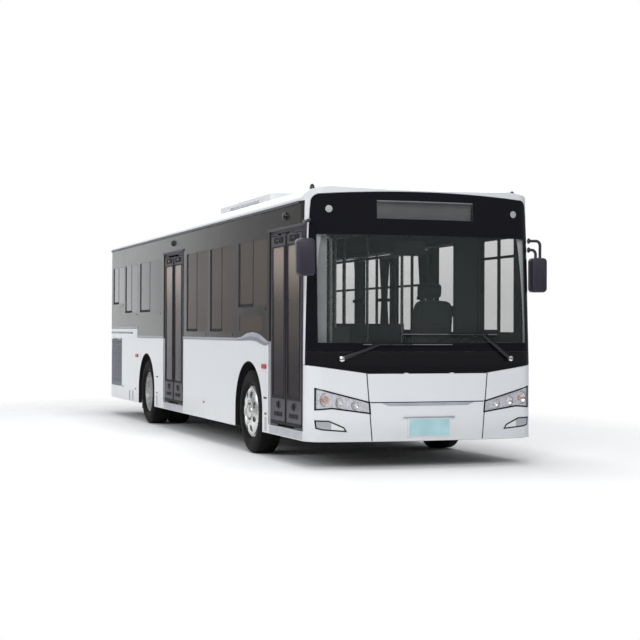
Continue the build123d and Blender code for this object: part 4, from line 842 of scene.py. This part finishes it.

# Blank plate with its holder, and a grey strip below the hatch seam as painted shade of the step there
bm = bmesh.new()
plate(bm, rounded(0.440, 0.168, 0.008, (0, 0.411)), lambda u, v, w: Vector((u, front_y - 0.0063 - w, v)), 0.0025)
show("blank_plate", bm, "plate_blue")
bm = bmesh.new()
plate(bm, rounded(0.56, 0.012, 0.004, (0, 0.512)), lambda u, v, w: Vector((u, front_y - w + 0.006, v)), 0.016)
show("plate_holder", bm, "trim_silver")
# Grey strip on the skin below the hatch seam: painted shade of the step
bm = bmesh.new()
strip(bm, [(u, 0.661) for u in span(-0.52, 0.52, 24)], [(u, 0.628) for u in span(-0.43, 0.43, 24)],
      nose_place(0.0004), 0.0016)
show("bumper_step", bm, "groove_grey")

# Mirrors: soft-cornered heads on bent arms, with the glass on the rear faces
heads, arms, bm = bmesh.new(), bmesh.new(), bmesh.new()
mirror_reach = 1.4375
foot_y = at(0.27)
bend_radius = 0.045
# Columns: side, width, station, height, heights of the arms' bends
for side, width, station, z, bends in ((-1, 0.180, -0.065, 2.100, [2.465]),
                                       (1, 0.175, 0.250, 1.975, [2.335, 2.240])):
    x = side * (mirror_reach - width / 2)
    layers = [(rounded(width - 2 * shrink, 0.365 - 2 * shrink, 0.042 - shrink, (x, z), 7), depth)
              for depth, shrink in ((-0.0570, 0.016), (-0.052, 0.006), (-0.038, 0), (0.050, 0), (0.0560, 0.004))]
    upright = lambda u, v, w: Vector((u, at(station) + w, v))
    joined(heads, rows_of(heads, layers, upright), caps=True)
    plate(bm, rounded(width - 0.034, 0.331, 0.030, (x, z)), lambda u, v, w: upright(u, v, w + 0.0562), 0.0015)
    for rank, bend_z in enumerate(bends):
        arm_x = x - side * (rank * 0.052 - (len(bends) - 1) * 0.026)
        bend = [(arm_x - side * bend_radius * (1 - cos(a)), at(station), bend_z - bend_radius * (1 - sin(a)))
                for a in span(0, pi / 2, 6)]
        tube(arms, [(arm_x, at(station), z + 0.17)] + bend + [(side * 1.245, foot_y, bend_z)], 0.0155, 12)
        turned(arms, [(0, 0), (0, 0.030), (0.010, 0.028), (0.014, 0.018), (0.014, 0)],
               (side * 1.2485, foot_y, bend_z), (side, 0, 0), 20)
show("mirror_arms", arms, "mirror_housing")
mirror_heads = show("mirror_heads", heads, "mirror_housing")
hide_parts("mirrors")
show("mirror_glasses", bm, "chrome")

# Red side markers with broad lenses
bm = bmesh.new()
for station in (1.617, 8.305):
    for side in (-1, 1):
        plate(bm, rounded(0.150, 0.048, 0.010, (station, 0.990)), side_place(side), 0.0130)
show("side_marker_lenses", bm, "red_marker")

# Pillar trim and grab pole beside the front door, behind the windscreen's kerb-side edge
show("door_post_trim", blocks([((-1.112, at(0.262), 1.00), (-1.006, at(0.284), 2.36))]),
     "light_plastic", bevel=0.006)
bm = bmesh.new()
tube(bm, [(-0.965, at(0.268), 1.02), (-0.965, at(0.268), 2.30), (-1.04, at(0.268), 2.36)], 0.021, 14)
show("door_post_pole", bm, "rail_steel")

# Round position lamps behind the windscreen's top corners, and marker domes on the roof
bm = bmesh.new()
for side in (-1, 1):
    turned(bm, [(0, 0), (0, 0.036), (0.002, 0.036), (0.004, 0.030), (0.005, 0)],
           nose_point(side * 1.02, 2.600, 0.0004), (side * 0.16, -1, 0), 24)
show("screen_lamps", bm, "light_plastic")
bm = bmesh.new()
for side in (-1, 1):
    turned(bm, [(-0.006, 0), (-0.006, 0.030), (0.020, 0.026), (0.042, 0.020), (0.055, 0.010), (0.058, 0)],
           (side * 1.12, at(0.40), 2.8116), (0, 0, 1), 16)
show("roof_markers", bm, "camera_black")

# Wipers: chrome pivot caps, tapered arms over the bars and bright blade spines
caps, spines, arms = bmesh.new(), bmesh.new(), bmesh.new()
# Columns: side, tip of the arm, height of the blade, its ends
for side, tip, blade_z, first, last in ((-1, (-0.55, 1.238), 1.236, -0.70, 0.25),
                                        (1, (0.60, 1.340), 1.340, -0.30, 0.77)):
    cap = (side * 0.92, 1.100)
    along = Vector(tip) - Vector(cap)
    across = Vector((-along.y, along.x)).normalized()
    rows = []
    for share in span(0, 1, 8):
        wide = 0.019 - 0.008 * share
        lift = 0.0412 - 0.0115 * share
        rows.append([arms.verts.new(nose_point(*(Vector(cap) + along * share + across * wide * u), lift + w))
                     for u, w in ((-1, 0), (-0.7, 0.006), (0.7, 0.006), (1, 0))])
    joined(arms, rows, caps=True)
    turned(caps, [(0.0005, 0), (0.0005, 0.030), (0.010, 0.027), (0.017, 0.015), (0.019, 0)],
           nose_point(*cap, 0.040), (side * 0.12, -1, 0), 24)
    ribbon(spines, span(first, last, 12), blade_z + 0.013, blade_z + 0.004, nose_place(0.0262), 0.003)
show("wiper_arm_covers", arms, "arm_black")
show("wiper_caps", caps, "chrome")
show("wiper_spines", spines, "wiper_metal")


# Wheels: a domed steel cover with round holes on each front rim, and hub caps on the spindle ends
cover_profile = [(-0.046, 0.276), (-0.030, 0.272), (-0.016, 0.250), (-0.003, 0.215), (0.004, 0.176), (0.004, 0.150),
                 (-0.006, 0.136), (-0.006, 0.100), (-0.010, 0.100), (-0.010, 0.138), (0.000, 0.152), (0.000, 0.174),
                 (-0.007, 0.212), (-0.020, 0.246), (-0.034, 0.262)]
hole_ring, hole_radius, holes = 0.203, 0.037, 8
cap_profile = [(-0.03, 0), (-0.03, 0.080), (0, 0.080), (0.018, 0.074), (0.026, 0.056), (0.028, 0.02), (0.028, 0)]
for side, word in ((-1, "right"), (1, "left")):
    dish, cutter = bmesh.new(), bmesh.new()
    x, y = side * (wheel_outer_x + 0.006), at(wheel_stations["front"])
    turned(dish, cover_profile + cover_profile[:1], (x, y, axle_z), (side, 0, 0), 48)
    for i in range(holes):
        a = 2 * pi * (i + 0.5) / holes
        turned(cutter, [(0, 0), (0, hole_radius), (0.20, hole_radius), (0.20, 0)],
               (x - side * 0.08, y + hole_ring * cos(a), axle_z + hole_ring * sin(a)), (side, 0, 0), 20)
    objects = []
    for bm in (dish, cutter):
        bmesh.ops.remove_doubles(bm, verts=bm.verts, dist=1e-6)
        bmesh.ops.recalc_face_normals(bm, faces=bm.faces)
        objects.append(placed("cover", mesh_of(bm, "cover")))
    cut = objects[0].modifiers.new("holes", "BOOLEAN")
    cut.operation = "DIFFERENCE"
    cut.solver = "EXACT"
    cut.object = objects[1]
    piece(f"front_{word}_cover", evaluated_mesh(objects[0]), "rim_steel", body=f"front_{word}_wheel", sharp=30)
    for obj in objects:
        bpy.data.objects.remove(obj)
    for name, body, depth in (("front", f"front_{word}_wheel", 0.014), ("rear", f"rear_{word}_wheels", 0.112)):
        bm = bmesh.new()
        turned(bm, cap_profile, (side * (wheel_outer_x - depth), at(wheel_stations[name]), axle_z),
               (side, 0, 0), 32)
        show(f"{name}_{word}_hub_cap", bm, "rim_steel", body=body)


# Driver's seat: a plinth with a shell, and a padded cushion, backrest and headrest
seat_x = 0.70
seat_s = 1.33


def pad_form(size, cuts=16, power=5.0, crown=0.22):
    """Stuffed form about the origin: rounded, crowned on top, its sides pulled in between the corners."""
    bm = bmesh.new()
    bmesh.ops.create_cube(bm, size=2)
    bmesh.ops.subdivide_edges(bm, edges=bm.edges[:], cuts=cuts, use_grid_fill=True)
    for vert in bm.verts:
        x, y, z = vert.co
        norm = (abs(x) ** power + abs(y) ** power + abs(z) ** power) ** (1 / power)
        x, y, z = x / norm, y / norm, z / norm
        full = max((1 - x * x) * (1 - y * y), 0)
        pull = 1 - 0.035 * (1 - abs(z))
        depth = z * (1 - crown + crown * sqrt(full) * 1.4)
        vert.co = (x * size[0] / 2 * (pull + 0.02 * abs(y) ** 3), y * size[1] / 2 * (pull + 0.02 * abs(x) ** 3),
                   depth * size[2] / 2)
    return bm


def swollen(bm, voxel=0.010, cap=0.012, pressure=4, steps=20):
    """Cloth skin blown up by inner pressure; no point moves farther than the cap."""
    scene = bpy.context.scene
    obj = placed("pad", mesh_of(bm, "pad"))
    remesh = obj.modifiers.new("remesh", "REMESH")
    remesh.mode = "VOXEL"
    remesh.voxel_size = voxel
    obj.data = evaluated_mesh(obj)
    obj.modifiers.clear()
    start = [v.co.copy() for v in obj.data.vertices]
    cloth = obj.modifiers.new("cloth", "CLOTH")
    cloth.settings.use_pressure = True
    cloth.settings.uniform_pressure_force = pressure
    cloth.settings.effector_weights.gravity = 0
    cloth.point_cache.frame_start = 1
    cloth.point_cache.frame_end = steps
    for step in range(1, steps + 1):
        scene.frame_set(step)
    obj.data = evaluated_mesh(obj)
    obj.modifiers.clear()
    scene.frame_set(1)
    for vert, before in zip(obj.data.vertices, start):
        move = vert.co - before
        vert.co = before + move * min(1, cap / max(move.length, 1e-9))
    smooth = obj.modifiers.new("smooth", "SUBSURF")
    smooth.levels = smooth.render_levels = 1
    bm = bmesh.new()
    bm.from_mesh(evaluated_mesh(obj))
    bpy.data.objects.remove(obj)
    return bm


def pad(name, size, place, tilt, channels=()):
    """Padded piece with sewn channels, turned about X by tilt degrees and set at a place."""
    bm = swollen(pad_form([0.97 * s for s in size]))
    for vert in bm.verts:
        if vert.co.z > 0:
            for axis, line in channels:
                vert.co.z -= 0.009 * exp(-((vert.co[axis] - line) / 0.008) ** 2)
    turn = Matrix.Rotation(radians(tilt), 4, "X")
    bmesh.ops.transform(bm, matrix=Matrix.Translation(Vector(place)) @ turn, verts=bm.verts)
    obj = show(name, bm, "seat_cloth")


bm = blocks([((seat_x - 0.12, at(seat_s - 0.12), floor_top), (seat_x + 0.12, at(seat_s + 0.12), 0.80)),
             ((seat_x - 0.17, at(seat_s - 0.17), 0.80), (seat_x + 0.17, at(seat_s + 0.17), 0.83)),
             ((seat_x - 0.22, at(seat_s - 0.20), 0.83), (seat_x + 0.22, at(seat_s + 0.21), 0.882))], 0.012, 2)
plate(bm, rounded(0.43, 0.62, 0.07, (seat_x, 1.32)),
      lambda u, v, w: Vector((u, at(seat_s + 0.235 + 0.125 * (v - 0.98)) - w, v)), 0.020)
frame_piece = show("driver_seat_frame", bm, "dashboard")
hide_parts("driver_seat")
pad("driver_cushion", (0.46, 0.44, 0.115), (seat_x, at(seat_s), 0.935), 4, ((0, -0.145), (0, 0.145), (1, 0.0)))
pad("driver_backrest", (0.52, 0.72, 0.105), (seat_x, at(seat_s + 0.218), 1.395), 97,
    ((0, -0.165), (0, 0.165), (1, 0.06)))
pad("driver_headrest", (0.30, 0.175, 0.085), (seat_x, at(seat_s + 0.292), 1.835), 97)
bm = bmesh.new()
for x in (seat_x - 0.05, seat_x + 0.05):
    tube(bm, [(x, at(seat_s + 0.262), 1.60), (x, at(seat_s + 0.289), 1.755)], 0.006)
show("headrest_rods", bm, "chrome")

# Tied curtains at the road-side windows
cloth_width = 0.62
curtain_low, curtain_high, tie_z = 1.38, 2.36, 1.78
curtain_x = 1.120
tie_half = 0.070


def curtain(name, station, wide, pleats=8):
    """Pleated curtain that hangs from the head, gathered by a tie; each row of it keeps the cloth's width."""
    rows, columns = 36, 8 * pleats
    bm = bmesh.new()
    grid = []
    for z in span(curtain_high, curtain_low, rows):
        share = min(1.0, abs(z - tie_z) / (curtain_high - tie_z)) ** 1.3
        spread = tie_half + (wide / 2 - tie_half) * share
        low_depth, high_depth = 0.0, 0.2
        for _ in range(24):
            depth = (low_depth + high_depth) / 2
            line = [((2 * c / columns - 1) * spread, cos(2 * pi * pleats * c / columns) * depth)
                    for c in range(columns + 1)]
            if sum((Vector(a) - Vector(b)).length for a, b in zip(line, line[1:])) < cloth_width:
                low_depth = depth
            else:
                high_depth = depth
        grid.append([bm.verts.new((curtain_x + across, at(station + along), z)) for along, across in line])
    joined(bm, grid, wrap=False)
    return piece(name, mesh_of(bm, name), "curtain_cloth", sharp=None)


bm, ties = bmesh.new(), bmesh.new()
tube(bm, [(1.135, at(1.45), 2.395), (1.135, at(6.50), 2.395)], 0.010)
show("curtain_rail", bm, "wiper_metal")
for name, station in (("fore_curtain", 2.78), ("middle_curtain", 4.07), ("aft_curtain", 5.02)):
    turned(ties, [(-0.02, 0.074), (0.02, 0.074), (0.02, 0.080), (-0.02, 0.080), (-0.02, 0.074)],
           (curtain_x, at(station), tie_z), (0, 0, 1), 20)
    curtain(name, station, 0.33)
show("curtain_ties", ties, "rubber_black")

# Cab: overhead monitor, partition behind the driver, ticket stand by the front door and dashboard dials
show("cab_monitor", blocks([((-0.20, at(0.42), 2.16), (0.14, at(0.50), 2.34)),
                            ((-0.07, at(0.44), 2.34), (0.01, at(0.48), 2.62))], 0.022, 3), "camera_black")
show("cab_partition", blocks([((0.44, at(1.632), floor_top), (1.195, at(1.656), 1.30)),
                              ((1.155, at(1.42), 1.30), (1.195, at(1.98), 2.42)),
                              ((0.90, at(1.40), 1.30), (1.195, at(1.42), 2.42))], 0.006), "dashboard")
show("fare_box", blocks([((-0.86, at(0.62), 1.05), (-0.62, at(0.80), 1.42)),
                         ((-0.80, at(0.66), floor_top), (-0.68, at(0.76), 1.06))], 0.014, 2), "dashboard")
bm = bmesh.new()
for shift in (-0.11, 0.02, 0.13):
    turned(bm, [(0, 0), (0, 0.045), (0.012, 0.050), (0.016, 0.044), (0.010, 0.040), (0.009, 0)],
           (seat_x + shift, at(0.560), 1.052), (0, 0.45, 1), 24)
show("dash_dials", bm, "camera_black")

# Roof air conditioner: side grilles, fan rings and guards
cooler_top = 3.0503
repeated("cooler_grilles", [(block((0.010, 0.052, 0.050)), (side * 0.8512, at(3.20), 2.918), (0, 0.072, 0), 18)
                            for side in (-1, 1)], "cooler_grey")
fans, guards = bmesh.new(), bmesh.new()
for y in (at(3.45), at(4.23)):
    turned(fans, [(0, 0.20), (0.006, 0.205), (0.012, 0.198), (0.012, 0.185), (0, 0.182), (0, 0.20)],
           (0, y, cooler_top), (0, 0, 1), 40)
    for radius in (0.05, 0.095, 0.14):
        turned(guards, [(0.002, radius), (0.006, radius), (0.006, radius + 0.006), (0.002, radius + 0.006),
                        (0.002, radius)], (0, y, cooler_top), (0, 0, 1), 32)
    for a in (0, pi / 4, pi / 2, 3 * pi / 4):
        arm = Vector((cos(a), sin(a), 0)) * 0.185
        middle = Vector((0, y, cooler_top + 0.0042))
        tube(guards, [middle + arm, middle - arm], 0.003, 6)
show("cooler_fans", fans, "mirror_housing")
show("cooler_guards", guards, "wiper_metal")

# Tail: hatch handles, reflectors, high lamp, black fittings and round lamps in the columns
bm, reds, blacks = bmesh.new(), bmesh.new(), bmesh.new()
handle_y = tail_face(0.6, 0.75)
for side in (-1, 1):
    bow = [(0.50, 0.001), (0.50, 0.020), (0.66, 0.020), (0.66, 0.001)]
    tube(bm, [(side * x, handle_y + out, 0.74) for x, out in bow], 0.008)
    ribbon(reds, span(side * 0.86, side * 1.06, 10), 0.505, 0.455, tail_place, 0.006)
    ribbon(blacks, span(side * 0.30, side * 0.46, 8), 1.662, 1.642, tail_place, 0.008)
ribbon(reds, span(-0.24, 0.24, 20), 2.578, 2.550, tail_place, 0.010)
ribbon(blacks, span(-1.04, 1.04, 24), 0.372, 0.330, tail_place, 0.006)
show("hatch_handles", bm, "camera_black", body="engine_hatch")
show("rear_reflectors", reds, "red_marker")
show("rear_fittings", blacks, "rubber_black")
rings, ambers, reverse = bmesh.new(), bmesh.new(), bmesh.new()
for x in (-1.075, 1.075):
    for z, target in ((0.86, reverse), (1.06, None), (1.26, ambers)):
        middle = (x, tail_face(x, z) + 0.0004, z)
        turned(rings, [(0, 0.056), (0.007, 0.056), (0.009, 0.050), (0.007, 0.046), (0, 0.046), (0, 0.056)], middle,
               (0, 1, 0))
        if target:
            turned(target, [(0, 0), (0, 0.045), (0.004, 0.044), (0.007, 0.03), (0.008, 0)], middle, (0, 1, 0), 24)
show("tail_lamp_rings", rings, "chrome")
show("tail_turn_lamps", ambers, "amber_lens")
show("reversing_lamps", reverse, "white_lens")


# Screws along the skirts and the drip rails
def screw_head(side):
    bm = bmesh.new()
    turned(bm, [(-0.001, 0), (-0.001, 0.005), (0.0008, 0.0045), (0.0016, 0.002), (0.0016, 0)], (0, 0, 0),
           (side, 0, 0), 8)
    return bm


# Columns: side, first station, step, count
repeated("skirt_screws", [(screw_head(side), (side * 1.2505, at(first), 0.300), (0, step, 0), count)
                          for side, first, step, count in ((-1, 2.95, 0.46, 6), (-1, 8.35, 0.42, 5),
                                                           (1, 2.95, 0.46, 9), (1, 8.35, 0.42, 5))],
         "wiper_metal")
repeated("gutter_screws", [(screw_head(side), (side * 1.2622, at(0.60), 2.677), (0, 0.40, 0), 25)
                           for side in (-1, 1)], "mirror_housing")

# Camera at the photograph's viewing angle
lens_data = bpy.data.cameras.new("camera")
lens_data.lens = 1443.33122 * 36 / 640
lens_data.sensor_width = 36
lens_data.clip_end = 200
camera = placed("camera", lens_data)
eye = (-5.80618, at(-13.4197), 1.388)
camera.matrix_world = Matrix.Translation(eye)
for degrees, axis in ((-19.06035, "Z"), (90.39634, "X"), (0.19685, "Z")):
    camera.matrix_world = camera.matrix_world @ Matrix.Rotation(radians(degrees), 4, axis)
bpy.context.scene.camera = camera
bpy.context.scene.view_settings.view_transform = "Standard"

# Studio: white behind the camera's rays, a dimmer sky for reflections with a glow beside the tail, large lamps
# and a floor that fades out
world = bpy.data.worlds.new("studio")
bpy.context.scene.world = world
world.use_nodes = True
studio = Graph(world.node_tree)
studio.tree.nodes.clear()


def ramp(value, low, high, first, last):
    """Straight change from first to last while the value goes from low to high."""
    return studio.node("ShaderNodeMapRange", {}, {"Value": value, "From Min": low, "From Max": high,
                                                  "To Min": first, "To Max": last})


def backdrop(colour, strength):
    return studio.node("ShaderNodeBackground", {}, [(*colour, 1), strength])


rays = {ray.socket.name: ray for ray in studio.outputs("ShaderNodeLightPath")}
x, y, z = studio.outputs("ShaderNodeSeparateXYZ", [studio.node("ShaderNodeTexCoord", {})])
glow = ramp(x, -0.28, -0.17, 0.0, 1.30)
glow = glow * glow * y.math("GREATER_THAN", y, 0.6)
mirrored = backdrop((0.97, 0.98, 1.0), ramp(z, -0.05, 0.5, 0.15, 0.58) + glow)
lit = studio.node("ShaderNodeMixShader", {}, [rays["Is Glossy Ray"], backdrop((0.95, 0.97, 1.0), 0.45), mirrored])
direct = rays["Is Camera Ray"].over(rays["Is Transmission Ray"])
studio.end("ShaderNodeOutputWorld", studio.node("ShaderNodeMixShader", {}, [direct, lit, backdrop((1, 1, 1), 1.0)]))


def area_lamp(name, place, size, watts, aim=(0, 0, 1)):
    data = bpy.data.lights.new(name, "AREA")
    data.shape = "RECTANGLE"
    data.size, data.size_y = size
    data.energy = watts
    lamp = placed(name, data)
    lamp.location = place
    lamp.rotation_mode = "QUATERNION"
    lamp.rotation_quaternion = (Vector(aim) - Vector(place)).to_track_quat("-Z", "Y")


area_lamp("front_lamp", (-5, -15, 9), (7, 7), 860)
area_lamp("side_lamp", (-14, 0, 8), (10, 6), 520)
area_lamp("top_lamp", (0, 0, 14), (6, 12), 1150)

bm = bmesh.new()
bmesh.ops.create_circle(bm, cap_ends=True, radius=26, segments=96)
floor_paint = Paint("pale floor", (0.93, 0.93, 0.93), specular_ior_level=0.0)
x, y, z = floor_paint.axes()
floor_paint.set("Roughness", floor_paint.noise(3, 2) * 0.1 + 0.9)
floor_paint.set("Alpha", (x * x * 3.0 + y * y).root().rise(11.0, 6.0))
floor_obj = placed("studio_floor", mesh_of(bm, "studio_floor"))
floor_obj.data.materials.append(floor_paint.material)
